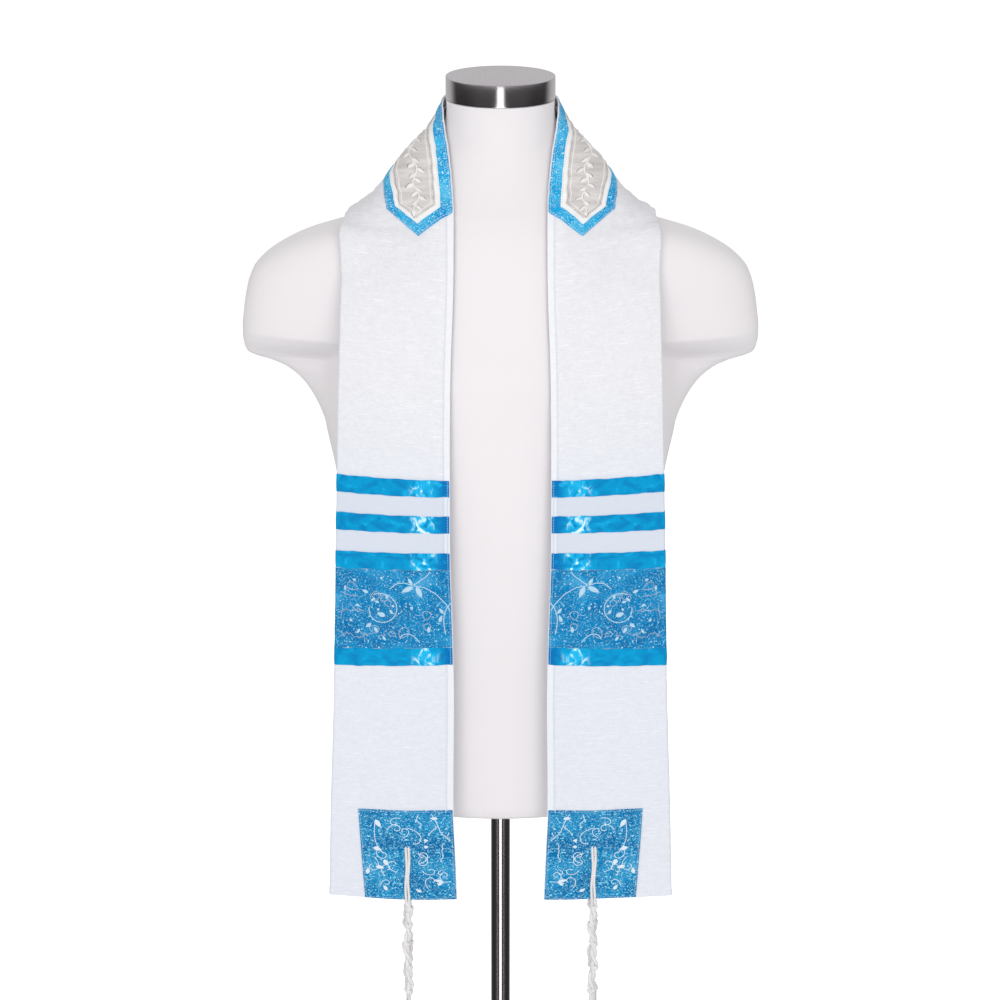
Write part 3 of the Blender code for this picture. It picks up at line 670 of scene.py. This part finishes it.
satin = Finish("blue_satin", cut=True, Specular_IOR_Level=0.12)
inward = satin.axis(0)
# Painted highlight: a strip 10 to 40 mm from the neck edge holds a pale blue halo round a
# near-white core, with pale blue painted glints over the whole ribbon. The blue is darker within
# about a centimetre of the neck edge.
highlight_strip = satin.between(inward, (0.010, 0.019), (0.028, 0.040))
pools = satin.noise(135, 90, warp=0.7)
dents = satin.noise(62, 88, detail=3, warp=0.8)
threads = satin.noise(260, 5200)
painted_sheen_halo = satin.step(pools, 0.34, 0.54) * highlight_strip
painted_glints = satin.step(dents, 0.56, 0.70) * satin.step(pools, 0.46, 0.62)
painted_highlight = satin.step(pools, 0.51, 0.66) * highlight_strip
even = satin.blend(satin.step(dents, 0.35, 0.6), tone(0, 130, 190), tone(0, 154, 209))
ground = satin.blend(satin.step(inward, 0.004, 0.013), tone(0, 116, 184), even)
with_painted_sheen = satin.blend(painted_sheen_halo * 0.8 + painted_glints * 0.6, ground, tone(34, 194, 246))
satin.give("Base Color", satin.blend(painted_highlight, with_painted_sheen, tone(220, 251, 255)))
satin.give("Roughness", 0.42 - 0.15 * painted_highlight + 0.08 * threads)
satin.bump(0.25 * threads + 0.9 * pools, 0.16)


def ribbon_height(across, up):
    """Satin between its two seams: a low crown, with a pucker that dies out away from the edge."""
    low, high = up.min(), up.max()
    t = (up - low) / (high - low)
    pucker = np.sin(across / 2.1 + 3 * t + low) * np.sin(across / 7.7 + low / 9)
    return 0.35 * np.sin(math.pi * t) + 0.16 * pucker * np.cos(math.pi * t) ** 2


for side, hand in SIDES:
    for number, (low, high) in enumerate(RIBBONS, start=1):
        faces, up, run = wrapped(low, high, 0.35, ribbon_height, 9)
        top = faces[0][0]
        wave = 0.25 * np.sin(top / 5.3 + number * 2 + side) + 0.15 * np.sin(top / 2.4 + side)
        rise = up + 0 * wave
        rise[0] += wave[0]
        rise[-1] += np.roll(wave[-1], 5)
        two_grids = [on_shawl(side * (HALF - rise), a, d) for a, d in faces]
        sheet(f"satin_ribbon_{hand}_{number}", *two_grids, (run, up), satin,
                              "blue_satin", f"ribbon_{hand}_{number}")


# Brocade: a wide band between the third and fourth ribbons, and a patch at each corner, woven in
# blue with pale flecks. Vines and leaves are worked on it in raised pale thread.

BAND = (273.7, 355.7)
PATCH_HIGH = 98.8
PATCH_WIDE = (86.5, 80.0)
HOLE = (58.0, 41.5)
CONTOUR = 0.085  # how far the noise changes from one pale thread to the next
ON_BAND, ON_PATCH = 0.75, 0.9  # how far each one's embroidery stands off the shawl


def brocade_cloth(name, deep, bright, thread, fill, sparse, haze):
    """Brocade: a blue ground with fine pale threads that wander like the contour lines of a
    map. Fill is the share of the cloth where they lie thick, sparse how far apart they are
    there, and haze how much the cloudy places are paler."""
    made = Finish(name, cut=True, Roughness=0.6, Specular_IOR_Level=0.15)
    cloud = made.noise(34, 34, detail=3, warp=0.6)
    wander = made.noise(210, 210, detail=1, warp=0.9)
    contour = made.node("Math", {"operation": "PINGPONG"}, {0: wander, 1: CONTOUR}) / CONTOUR
    dots = made.noise(520, 520, detail=1)
    grain = made.noise(2400, 3800)
    thick = made.step(cloud, 0.70 - fill, 0.84 - fill)
    pale = made.step(contour * 0.7 + dots * 0.6, sparse, sparse + 0.1) * (0.05 + 0.95 * thick)
    ground = made.blend(made.step(0.6 * cloud + 0.4 * grain, 0.35, 0.62), deep, bright)
    hazy = made.blend(made.step(cloud, 0.52, 0.80) * haze, ground, thread)
    white_flecks = made.step(dots, 0.60, 0.70) * pale
    flecked = made.blend(pale, hazy, thread)
    made.give("Base Color", made.blend(white_flecks, flecked, tone(228, 242, 249)))
    made.bump(0.8 * pale + 0.25 * grain, 0.2)
    return made


brocade = brocade_cloth(
    "blue_brocade", tone(0, 104, 166), tone(0, 142, 202), tone(100, 186, 226),
    fill=0.46, sparse=0.81, haze=0.55,
)
patch_brocade = brocade_cloth(
    "blue_corner_brocade", tone(0, 98, 160), tone(0, 136, 194), tone(118, 208, 240),
    fill=0.46, sparse=0.78, haze=0.15,
)


def leaves(rows, side, lift, high=0.4):
    """Raised almond leaves. Rows hold up from the hem, across, heading in degrees from the hem's
    direction, length and width. Each stands as (1 - s^2) sin(pi t) over its width and length,
    with a groove for its midrib."""
    rows = np.asarray(rows, float)[:, :, None, None]
    t = np.linspace(0.0, 1.0, 11)[:, None]
    s = np.linspace(-1.0, 1.0, 7)
    up, across, aim, length, wide = (rows[:, k] for k in range(5))
    aim = np.radians(aim)
    forward = t * length
    sideways = s * (wide / 2 * np.sin(math.pi * t**0.8) + 0.04)
    where = side * (HALF - up - forward * np.sin(aim) - sideways * np.cos(aim))
    across = across + forward * np.cos(aim) - sideways * np.sin(aim)
    rise = high * (1 - s**2) * np.sin(math.pi * t) ** 0.6 - 0.25 * high * np.exp(-((s / 0.25) ** 2))
    return [
        slab(on_shawl(a, b, -(lift + 0.06 + rise)), on_shawl(a, b, -(lift - 0.1)))
        for a, b in zip(where, np.clip(across, 0.3, WIDTH - 2))
    ]


def worked(lines, side, lift, wide=0.7, high=0.3):
    """Embroidered lines. Each is a list of places, up from the hem and across."""
    return [
        ribs(side * (HALF - up[None]), np.clip(across[None], 0.4, WIDTH - 2), lift, wide, high)
        for up, across in (line.T for line in lines)
    ]


def trail(up, across, aims, steps):
    """A line of steps, each with its own heading."""
    ups, ways = np.cumsum(np.sin(aims) * steps), np.cumsum(np.cos(aims) * steps)
    return np.stack([up + ups, across + ways], axis=1)


def curl(up, across, heading, size, bend, count=46):
    """A stem that bends more and more, by bend radians in all: its heading is heading plus bend
    times the square of the share of the way."""
    aims = math.radians(heading) + bend * np.linspace(0, 1, count) ** 2
    return trail(up, across, aims, size / count)


def ring(up, across, wide, end_wide, start, end):
    """A ring that draws in as it turns, between two angles in degrees."""
    turn = np.radians(np.linspace(start, end, 90))
    size = np.linspace(wide, end_wide, 90)
    return np.stack([up + size * np.sin(turn), across + size * np.cos(turn)], axis=1)


def kept_in(line, high, wide):
    """A line up to where it first leaves a patch of that height and width."""
    out = (line[:, 0] < 2) | (line[:, 0] > high - 2) | (line[:, 1] < 1.5) | (line[:, 1] > wide - 3)
    return line[:np.argmax(out)] if out.any() else line


def bud(up, across, heading, length, wide):
    """The outline of a bud, as one closed line."""
    t = np.linspace(0, 2 * math.pi, 34)
    aim = math.radians(heading)
    forward = length * (0.5 - 0.5 * np.cos(t))
    sideways = wide / 2 * np.sin(t) * (1.2 - 0.4 * np.cos(t))
    return np.stack([up + forward * math.sin(aim) + sideways * math.cos(aim),
                     across + forward * math.cos(aim) - sideways * math.sin(aim)], axis=1)


def crackle(draw, up, across, heading, length):
    """A line that jumps from side to side like a crack, in steps of 1 to 3.6 mm and headings
    within 1.25 radians of its own."""
    turns = np.radians(heading) + draw.uniform(-1.25, 1.25, 40)
    steps = draw.uniform(1.0, 3.6, 40)
    steps = steps[np.cumsum(steps) < length]
    return trail(up, across, turns[:len(steps)], steps)


def band_height(across, up):
    """The band lies flat, and only its ground shows a slight unevenness."""
    return 0.08 * np.sin(across / 6.1 + up / 9) * np.sin(up / 5.2 - across / 11)


pale_thread = dyed("pale_blue_thread", tone(150, 196, 224), tone(206, 230, 242))
grey_thread = dyed("grey_blue_thread", tone(150, 172, 198), tone(192, 206, 222))
white_flower_thread = dyed("white_flower_thread", tone(196, 218, 234), tone(240, 246, 250))

# The vines on the band: a stem from its upper edge to a pair of leaves, runners from there to
# both sides, a ring with a leaf in it, outlined buds, and cracked lines towards the outer fold.
# Places are up from the band's lower edge and across.
vines = [
    evened([(81, 19), (76, 22), (71, 29), (66, 35)]),
    evened([(66, 35), (64, 24), (57, 14), (46, 5), (38, 1.5)]),
    evened([(66, 35), (69, 43), (68, 51), (62, 58)]),
    ring(41, 66, 17, 12, 60, 372), curl(12, 6, 80, 44, 1.4), curl(5, 30, 60, 26, -2.6),
]
vine_leaves = [
    (65, 35, -28, 13, 5.2), (65, 32, -112, 13, 5.0), (67, 36, 62, 8, 3.4), (34, 62, 20, 9, 5.0),
    (26, 76, -35, 7, 3.6), (22, 73, 240, 7, 3.4), (58, 79, 25, 7, 3.2), (27, 12, 110, 8, 3.2),
    (36, 8, 60, 7, 3.0), (16, 22, 95, 7, 3.0),
] + [(*place, 4.6 + 1.6 * math.sin(9 * k), 2.6) for k, place in enumerate((
    (52, 60, 80), (48, 68, 20), (45, 56, 200), (53, 72, 320), (40, 70, 140), (36, 55, 60),
    (70, 92, 30), (60, 104, 100), (46, 92, 210), (28, 96, 40), (20, 88, 300), (74, 64, 350),
    (8, 62, 60), (44, 36, 300),
))]
draw = np.random.default_rng(11)
outlines = [bud(*row) for row in (
    (30, 24, 100, 9, 6), (18, 22, 78, 8, 5), (11, 48, 120, 12, 7), (22, 78, 200, 10, 6),
    (52, 77, 150, 11, 6), (62, 90, 20, 12, 6), (44, 58, 70, 7, 5), (49, 66, 130, 8, 5),
    (14, 52, 20, 7, 4),
)] + [crackle(draw, *row) for row in (
    (36, 112, 180, 40), (30, 112, 120, 26), (58, 112, 190, 30), (8, 112, 172, 46),
    (14, 96, 200, 26), (4, 84, 90, 12), (47, 104, 230, 24), (66, 100, 250, 20),
    (12, 104, 60, 16), (9, 70, 150, 18),
)]
vines, outlines = ([line + (BAND[0], 0) for line in lines] for lines in (vines, outlines))
vine_leaves = np.array(vine_leaves) + (BAND[0], 0, 0, 0, 0)
band_seams = np.stack([np.linspace(255.5, 448.5, 200), np.full(200, 2.4)], axis=1)

# The corner patch: a forked stem from its upper edge, curls round the tassel's hole, a cracked
# line by the neck edge, small leaves, and a stitched edge. Places are up from the hem and across.
stems = [
    evened([(96, 20), (90, 17), (82, 14), (74, 12)], step=0.6),
    evened([(74, 12), (70, 8), (66, 4)], step=0.6),
    evened([(82, 14), (76, 20), (72, 23)], step=0.6),
    evened([(95, 31), (88, 33), (84, 28), (80, 31)], step=0.6),
] + [curl(*row) for row in (
    (80, 42, 200, 30, 3.2), (68, 46, 150, 22, -5.2), (52, 34, 200, 30, 5.6),
    (40, 33, 160, 30, -6.4), (33, 30, 230, 22, -5.2), (88, 70, -84, 40, -0.9),
    (60, 66, -60, 30, -5.6), (47, 72, 230, 30, 5.4), (26, 62, 60, 24, 5.4),
    (14, 66, 100, 20, 5.8), (12, 24, 60, 24, 4.8), (30, 50, 20, 24, 4.4),
    (76, 60, 120, 26, 5.5), (90, 46, 10, 22, -5.5), (20, 12, 60, 20, 5.0),
)] + [crackle(draw, *row) for row in (
    (64, 10, -80, 30), (36, 12, -100, 16), (92, 78, -60, 20), (78, 8, -120, 12), (14, 8, 40, 22),
    (8, 70, 10, 14), (70, 52, 10, 12), (22, 50, 150, 14),
)]
stems = [kept_in(line, PATCH_HIGH, PATCH_WIDE[1]) for line in stems]
stems = [line for line in stems if len(line) > 4]
stem_leaves = [
    (57, 72, 200, 8, 4.4), (90, 14, 5, 7, 3.4), (44, 62, 250, 7, 4.6), (36, 70, 190, 8, 4.2),
    (66, 27, 180, 4, 3.0), (59, 27, 180, 4, 3.0), (20, 12, 20, 8, 3.4), (16, 16, 130, 7, 3.0),
    (27, 78, 100, 7, 4.0), (88, 70, 240, 10, 4.6), (10, 60, 60, 6, 3.4), (9, 30, 30, 6, 3.0),
]
low_corner, high_corner, top_seam = PATCH_WIDE[1] - 1.2, PATCH_WIDE[1] + 5.0, PATCH_HIGH - 1.5
rim = np.array([(2, 2.4), (top_seam, 2.4), (top_seam, high_corner), (2, low_corner), (2, 2.4)])
rim = np.concatenate([np.linspace(p, q, 60) for p, q in zip(rim[:-1], rim[1:])])


def seam(line, side, lift, **thread):
    """A running stitch along a line of places, up from the hem and across."""
    places = np.stack([side * (HALF - line[:, 0]), line[:, 1]], axis=1)
    return [stitched(places, lift, **thread)]


for side, hand in SIDES:
    faces, up, run = wrapped(*BAND, 0.4, band_height, 24)
    two_grids = [on_shawl(side * (HALF - up), a, d) for a, d in faces]
    sheet(f"wide_band_{hand}", *two_grids, (run, up), brocade, "blue_brocade",
                          f"brocade_band_{hand}")
    up = np.linspace(0.5, PATCH_HIGH, 40)[:, None]
    wide = PATCH_WIDE[1] + (PATCH_WIDE[0] - PATCH_WIDE[1]) * up / PATCH_HIGH
    spots = 0.9 + (wide - 0.9) * np.linspace(0, 1, 36)
    ups = up + 0.25 * np.sin(spots / 9) * (up > 90)
    two_grids = [on_shawl(side * (HALF - ups), spots, -lift) for lift in (0.95, 0.35)]
    sheet(f"corner_patch_cloth_{hand}", *two_grids, (spots + 300, ups + 11),
                          patch_brocade, "blue_brocade", f"corner_patch_{hand}")
    vine = worked(vines, side, ON_BAND, wide=0.95, high=0.35)
    stem = worked(stems, side, ON_PATCH, wide=0.72, high=0.28)
    band_stitches = seam(band_seams, side, 1.0, pitch=2.8, wide=0.45, high=0.2)
    patch_stitches = seam(rim, side, ON_PATCH, pitch=2.9, wide=0.6, high=0.28)
    for name, parts, thread in (
        ("band_vines", vine + leaves(vine_leaves, side, ON_BAND), pale_thread),
        ("band_edge_stitches", band_stitches, pale_thread),
        ("band_outlines", worked(outlines, side, ON_BAND, wide=0.62, high=0.24), grey_thread),
        ("patch_stems", stem + leaves(stem_leaves, side, ON_PATCH), white_flower_thread),
        ("patch_edge_stitches", patch_stitches, grey_thread),
    ):
        sewn(f"{name}_{hand}", parts, thread, "blue_brocade")


# Neckband: three layers sewn on each other round the back of the neck, with pointed ends. Blue
# brocade lies underneath, a white cotton margin on it, and silver-grey satin on top.

NECKBAND_HALF = 205.0
NECKBAND_POINT = 29.0
NECKBAND_WIDE = 62.0
NECKBAND_SLOPE = NECKBAND_POINT / (NECKBAND_WIDE / 2)
MARGIN_IN = 9.5
FIELD_IN = 13.8
ON_FIELD = 2.6  # how far the field's embroidery stands off the shawl
STEM_START, STEM_END = 96.0, 206.0  # from the centre back


def neckband_end(inset):
    """The three corners of the neckband's pointed right end, drawn in by an inset, as along and
    across."""
    tip = NECKBAND_HALF + NECKBAND_POINT - inset * math.hypot(1.0, NECKBAND_SLOPE)
    low, high, middle = inset + 0.6, NECKBAND_WIDE - inset, NECKBAND_WIDE / 2
    near, far = (tip - NECKBAND_SLOPE * reach for reach in (middle - low, high - middle))
    return (near, low), (tip, middle), (far, high)


def neckband_places(inset, rows=230, columns=24):
    """Grid of along and across inside the neckband's outline: straight sides, and at each end
    two slopes that meet in a point."""
    (near, low), (tip, middle), (far, high) = neckband_end(inset)
    inner = np.linspace(-near + 1, near - 1, rows)
    end = np.linspace(min(near, far), tip - 0.05, 16)
    along = np.unique(np.concatenate([inner, end, -end, [near, far, -near, -far]]))[:, None]
    half = (tip - np.abs(along)) / NECKBAND_SLOPE
    start, stop = np.maximum(low, middle - half), np.minimum(high, middle + half)
    return along, start + (stop - start) * np.linspace(0, 1, columns)


border_brocade = brocade_cloth(
    "blue_border_brocade", tone(2, 140, 208), tone(36, 182, 234), tone(150, 222, 250),
    fill=0.52, sparse=0.78, haze=0.3,
)
cotton = Finish("white_cotton_margin", cut=True, Roughness=0.85, Specular_IOR_Level=0.2)
cotton_weave = cotton.noise(1400, 1400)
cotton.give("Base Color", cotton.blend(cotton_weave, tone(238, 238, 238), tone(252, 252, 251)))
cotton.bump(cotton_weave, 0.12)
silver = Finish("silver_satin", cut=True, Metallic=0.1, Specular_IOR_Level=0.4)
silver_threads = silver.noise(300, 4200, detail=3)
silver_shade = silver.step(silver_threads * 0.4 + silver.noise(40, 150) * 0.6, 0.3, 0.7)
silver.give("Base Color", silver.blend(silver_shade, tone(204, 198, 195), tone(232, 228, 226)))
silver.give("Roughness", 0.36 + 0.15 * silver_threads)
silver.bump(silver_threads, 0.08)

# Each layer has its inset, its lift off the shawl, and a puff that fades to nothing at its edge.
for name, inset, lift, puff, finish, slot, node in (
    ("blue_border", 0.0, 0.35, 0.25, border_brocade, "blue_brocade", "neckband_border"),
    ("white_margin", MARGIN_IN, 1.2, 0.1, cotton, "white_cotton_margin", "neckband_margin"),
    ("silver_field", FIELD_IN, 1.9, 0.3, silver, "silver_satin", "neckband_field"),
):
    along, across = neckband_places(inset)
    t = np.linspace(-1, 1, across.shape[1])
    two_grids = [on_shawl(along, across, -rise) for rise in (lift + 0.5 + puff * (1 - t**6), lift)]
    cut = across + 600, along
    sheet(f"neckband_{name}", *two_grids, cut, finish, slot, node)

# The neckband's thread: a raised line inside the field's edge, a stitch on the white margin, and
# down the middle of each end a wavy stem with leaves to both sides, over a painted shadow.
silver_thread = dyed("silver_thread", tone(226, 223, 220), tone(252, 251, 249))
# Dark grey thread, for the stitch inside the field's edge and for the painted shadow under the
# vine.
grey_stitch_and_shadow_thread = dyed("grey_thread", tone(118, 113, 116), tone(160, 155, 158))


def pointed(inset):
    """The neckband's outline drawn in by an inset, as one closed line of along and across."""
    corners = list(neckband_end(inset))
    corners += [(-a, b) for a, b in corners[::-1]] + corners[:1]
    return np.concatenate([np.linspace(p, q, 260) for p, q in zip(corners[:-1], corners[1:])])


def wavy(way):
    """How far across the stem runs at a distance from the centre back: a sine about the middle."""
    return NECKBAND_WIDE / 2 + 2.2 * np.sin((way - STEM_START) / 5.4)


outline = pointed(FIELD_IN + 3.6).T[:, None]
raised = ribs(*outline, ON_FIELD, wide=0.9, high=0.5)
sewn("neckband_outline", [raised], silver_thread, "silver_satin")
groove = stitched(pointed(FIELD_IN + 1.0), 2.45, pitch=2.6, wide=0.5, high=0.25)
sewn("neckband_field_stitches", [groove], grey_stitch_and_shadow_thread, "silver_satin")
margins = [
    stitched(pointed(MARGIN_IN + 1.0), 1.75, pitch=2.8, wide=0.45, high=0.2),
    stitched(pointed(1.3), 1.05, pitch=2.8, wide=0.45, high=0.22),
]
sewn("neckband_margin_stitches", margins, white_thread, "white_cotton_margin")

way = np.arange(STEM_START, STEM_END + 1.0, 0.8)
stem = np.stack([HALF - way, wavy(way)], axis=1)
rows = [
    (HALF - at, wavy(at), -90 + (48 if n % 2 else -48), 8.6, 3.6)
    for n, at in enumerate(np.arange(STEM_START + 4.0, 204.0, 5.6))
]
rows.append((HALF - STEM_END, stem[-1, 1], -90, 8.0, 3.6))
shadow_leaf_rows = np.array(rows) + (0.5, 0, 0, 1.1, 1.4)
for side, hand in SIDES:
    # Under the silver vine, a wider copy of its stem and leaves in dark grey thread: a painted
    # shadow.
    edge = worked([stem + (0.5, 0.3)], side, 2.45, wide=1.9, high=0.3)
    edge += leaves(shadow_leaf_rows, side, 2.5, high=0.3)
    sewn(f"neckband_vine_painted_shadow_{hand}", edge, grey_stitch_and_shadow_thread, "silver_satin")
    vine = worked([stem], side, ON_FIELD, wide=1.1, high=0.8)
    vine += leaves(rows, side, 2.65, high=1.0)
    sewn(f"neckband_vine_{hand}", vine, silver_thread, "silver_satin")


# Tassels: one at each corner. Two cords hang from a hole in the patch, are wound and knotted
# below the hem, and end in eight loose strands. The second corner's tassel hangs just behind.

HEAD_KNOTS = (8.0, 26.3, 48.3, 74.3, 101.0)
HEAD_END = 104.0
STRAND_END = 262.0
STRANDS = 8

cord = Finish("white_cord", Roughness=0.85, Sheen_Weight=0.2)
ply = cord.noise(2200, 2200, 900)
cord.give("Base Color", cord.blend(ply, tone(214, 212, 213), tone(248, 246, 246)))
cord.bump(ply, 0.12)


def cord_tube(line, size, sides, lobes, pitch, side=(1.0, 0.0, 0.0)):
    """A cord of two plies along a line. Its section is a circle whose size is multiplied by
    1 + lobes cos(2 (turn - 2 pi run / pitch)), so the plies twist once in every pitch."""
    side = np.asarray(side, float)
    way = unit(np.gradient(line, axis=0))
    flat = unit(side - way * (way @ side)[:, None])
    turn = np.linspace(0, 2 * math.pi, sides + 1)[:-1]
    twist = 2 * math.pi * run_along(line)[:, None] / pitch
    wide = (size * (1 + lobes * np.cos(2 * (turn - twist))))[..., None]
    turn = turn[:, None]
    out = np.cross(way, flat)
    rings = flat[:, None] * (wide * np.cos(turn)) + out[:, None] * (wide * np.sin(turn))
    ends = np.repeat(line[[0, -1], None], sides, 1)
    points = np.concatenate([ends[:1], line[:, None] + rings, ends[1:]])
    return points.reshape(-1, 3), lattice(len(points), sides, True)


def tassel(name, strap, side, head, seed, node):
    """Strap, two plies twisted round each other, knots wound round them, and loose strands. Below
    the head all follow a line that leans by 1.7 sin(depth / 11) + 0.7 sin(depth / 4.6)."""
    sway = np.random.default_rng(seed)
    parts = []

    def lean(depth):
        return 1.7 * np.sin(depth / 11.0 + seed) + 0.7 * np.sin(depth / 4.6 + 2 * seed)

    def hung(x, y, depth):
        return np.stack([head[0] + x, head[1] + y, head[2] - depth], axis=1)

    for hand in (-1, 1):
        line = evened(strap + side * 1.4 * hand, 8, 0.9)
        t = np.linspace(0, 1, len(line))[:, None]
        bow = 0.9 * np.sin(t * math.pi) * np.sin(7.0 * t + 0.5 * hand)
        parts.append(cord_tube(line + side * bow, 1.35, 9, lobes=0.16, pitch=5.0, side=side))
    below = np.arange(0.0, HEAD_END, 0.8)
    for start in (0, math.pi):
        turn = 2 * math.pi * below / 27 + start + seed
        line = hung(lean(below) + 1.75 * np.cos(turn), 1.75 * np.sin(turn), below)
        parts.append(cord_tube(line, 2.0, 10, lobes=0.13, pitch=6.5))
    turn = np.linspace(0, 3 * 2 * math.pi, 64)
    rise = turn / (2 * math.pi) - 1.5
    spread = 3.6 - 0.5 * rise**2
    for knot in HEAD_KNOTS:
        depth = knot + 1.5 * rise + 0.9 * np.cos(turn + seed + knot)
        line = hung(lean(knot) + spread * np.cos(turn), spread * np.sin(turn), depth)
        parts.append(cord_tube(line, 1.05, 7, lobes=0.1, pitch=4.0, side=(0, 0, 1)))
    t = np.linspace(0, 1, 132)
    spread = 1.2 + 1.9 * np.minimum(1, t * 3)
    for n in range(STRANDS):
        turn = 2 * math.pi * n / STRANDS + 0.3
        bow = sway.uniform(-1.0, 1.0, 2)
        wave = 0.45 * np.sin(t * sway.uniform(7, 12) + sway.uniform(0, 6))
        start = HEAD_END - 4
        length = STRAND_END - start - 3.0 * ((n * 5) % STRANDS) / STRANDS
        x = lean(HEAD_END) + spread * math.cos(turn) + bow[0] * t + wave
        line = hung(x, spread * math.sin(turn) + bow[1] * t, start + length * t)
        parts.append(cord_tube(line, 0.72, 6, lobes=0.18, pitch=4.2))
    piece(name, *bound(parts), cord, "white_cord", sharp=80, replaces=node)


# Each strap: where it lies on the cloth, as up from the hem and behind the front face, then where
# it hangs below the hem, from the point of the hem under the hole, and the head's place from there.
STRAPS = (
    ("front", 1, ((HOLE[0], 0.6), (HOLE[0], -1.0), (HOLE[0] - 1.5, -2.4), (HOLE[0] - 6, -2.5),
                  (HOLE[0] / 2, -2.6), (6.0, -2.6), (0.3, -2.7)),
     ((0.0, -1.6, -6.0),), (0.0, -0.6, -1.0)),
    ("rear", 4, ((9.5, 3.2), (0.2, 3.3)),
     ((0.0, 4.3, -2.4), (0.0, 7.4, -4.3), (0.0, 10.4, -5.6), (0.0, 12.0, -9.0)), (0.0, 12.2, -4.2)),
)


def under_hole(side, up, deep):
    """A point of a strap, straight below the hole."""
    point = on_shawl(side * (HALF - up), HOLE[1], deep)
    point[0] = on_shawl(side * (HALF - HOLE[0]), HOLE[1], 0.0)[0]
    return point


for side, hand in SIDES:
    hole = side * (HALF - HOLE[0])
    level = side * unit(on_shawl(hole, HOLE[1] + 4.0, 0.0) - on_shawl(hole, HOLE[1] - 4.0, 0.0))
    start = under_hole(side, 0.0, 0.0)
    for place, seed, on_it, below_it, head in STRAPS:
        strap = [under_hole(side, *point) for point in on_it]
        strap += [start + point for point in below_it]
        tassel(f"knotted_tassel_{place}_{hand}", np.array(strap), level, start + head, seed + side,
               f"tassel_{place}_{hand}")


# Studio: a pale floor under an even white sky, with soft wide lights, two in front and one behind.
# For glossy rays alone the floor is black and glows, a painted reflection for the steel: dark in
# front, one bright streak that runs towards the camera, and grey behind. The camera looks a little
# down from in front.

floor_finish = Finish("pale_floor", Roughness=0.9, Emission_Strength=1.0)
seen = floor_finish.node("LightPath", output="Is Camera Ray")
mirrored = floor_finish.node("LightPath", output="Is Glossy Ray")
side_on, front_on = floor_finish.axis(0), floor_finish.axis(1)
far_out = side_on * side_on + front_on * front_on
ahead = front_on * -1.0 / (far_out + 1e-6) ** 0.5
far_off = floor_finish.step(far_out, 6.0, 20.0)
# A glowing streak ahead and a soft glow elsewhere, for glossy rays only: painted reflections in the
# steel.
painted_glint_stripe = 2.6 * floor_finish.step(ahead, 0.966 + 0.024 * far_off, 0.988 + 0.010 * far_off)
soft_front = 0.04 * floor_finish.step(ahead, 0.2, 0.8)
behind = (0.06 + 0.5 * far_off) * floor_finish.step(ahead * -1.0, 0.25, 0.75)
floor_finish.give("Emission Color", seen * 0.6 + mirrored * (0.018 + painted_glint_stripe + soft_front + behind))
pale, mirror_black = (0.78, 0.78, 0.79, 1.0), (0.0, 0.0, 0.0, 1.0)
floor_finish.give("Base Color", floor_finish.blend(mirrored, pale, mirror_black))
corners = [(x, y, -0.0005) for x, y in ((-30, -30), (30, -30), (30, 30), (-30, 30))]
floor_mesh = bpy.data.meshes.new("studio_floor")
floor_mesh.from_pydata(corners, [], [(0, 1, 2, 3)])
floor_mesh.materials.append(floor_finish.material)
placed("studio_floor", floor_mesh)

world = bpy.data.worlds.new("studio")
bpy.context.scene.world = world
world.use_nodes = True
sky = world.node_tree.nodes["Background"]
sky.inputs["Color"].default_value = (1.0, 1.0, 1.0, 1.0)
seen_sky = world.node_tree.nodes.new("ShaderNodeLightPath")
strength = world.node_tree.nodes.new("ShaderNodeMapRange")
strength.inputs["To Min"].default_value = 0.62
strength.inputs["To Max"].default_value = 1.0
world.node_tree.links.new(seen_sky.outputs["Is Camera Ray"], strength.inputs["Value"])
world.node_tree.links.new(strength.outputs["Result"], sky.inputs["Strength"])


def soft_light(name, place, size, power):
    """A flat lamp of width and height in metres that faces the form and isn't mirrored."""
    lamp = bpy.data.lights.new(name, "AREA")
    lamp.shape = "RECTANGLE"
    lamp.size, lamp.size_y = size
    lamp.energy = power
    made = placed(name, lamp)
    x, y, z = np.array((0.0, 0.0, 0.9)) - place
    made.location = place
    made.rotation_euler = (math.atan2(math.hypot(x, y), -z), 0.0, math.atan2(-x, y))
    made.visible_glossy = False


soft_light("key_light", (-1.25, -3.0, 2.1), (1.8, 2.2), 31)
soft_light("fill_light", (1.25, -3.0, 2.1), (1.8, 2.2), 29)
soft_light("back_light", (0.0, 3.2, 2.1), (2.4, 2.0), 34)

LOOK_DOWN = 17.77
eye = bpy.data.cameras.new("camera")
eye.lens = 118.58
eye.sensor_width = 36.0
eye.shift_x = -0.0005
camera = placed("camera", eye)
camera.location = (0.0, -3.2, 2.0356)
camera.rotation_euler = (math.radians(90 - LOOK_DOWN), 0.0, 0.0)
bpy.context.scene.camera = camera
bpy.context.scene.view_settings.view_transform = "Standard"
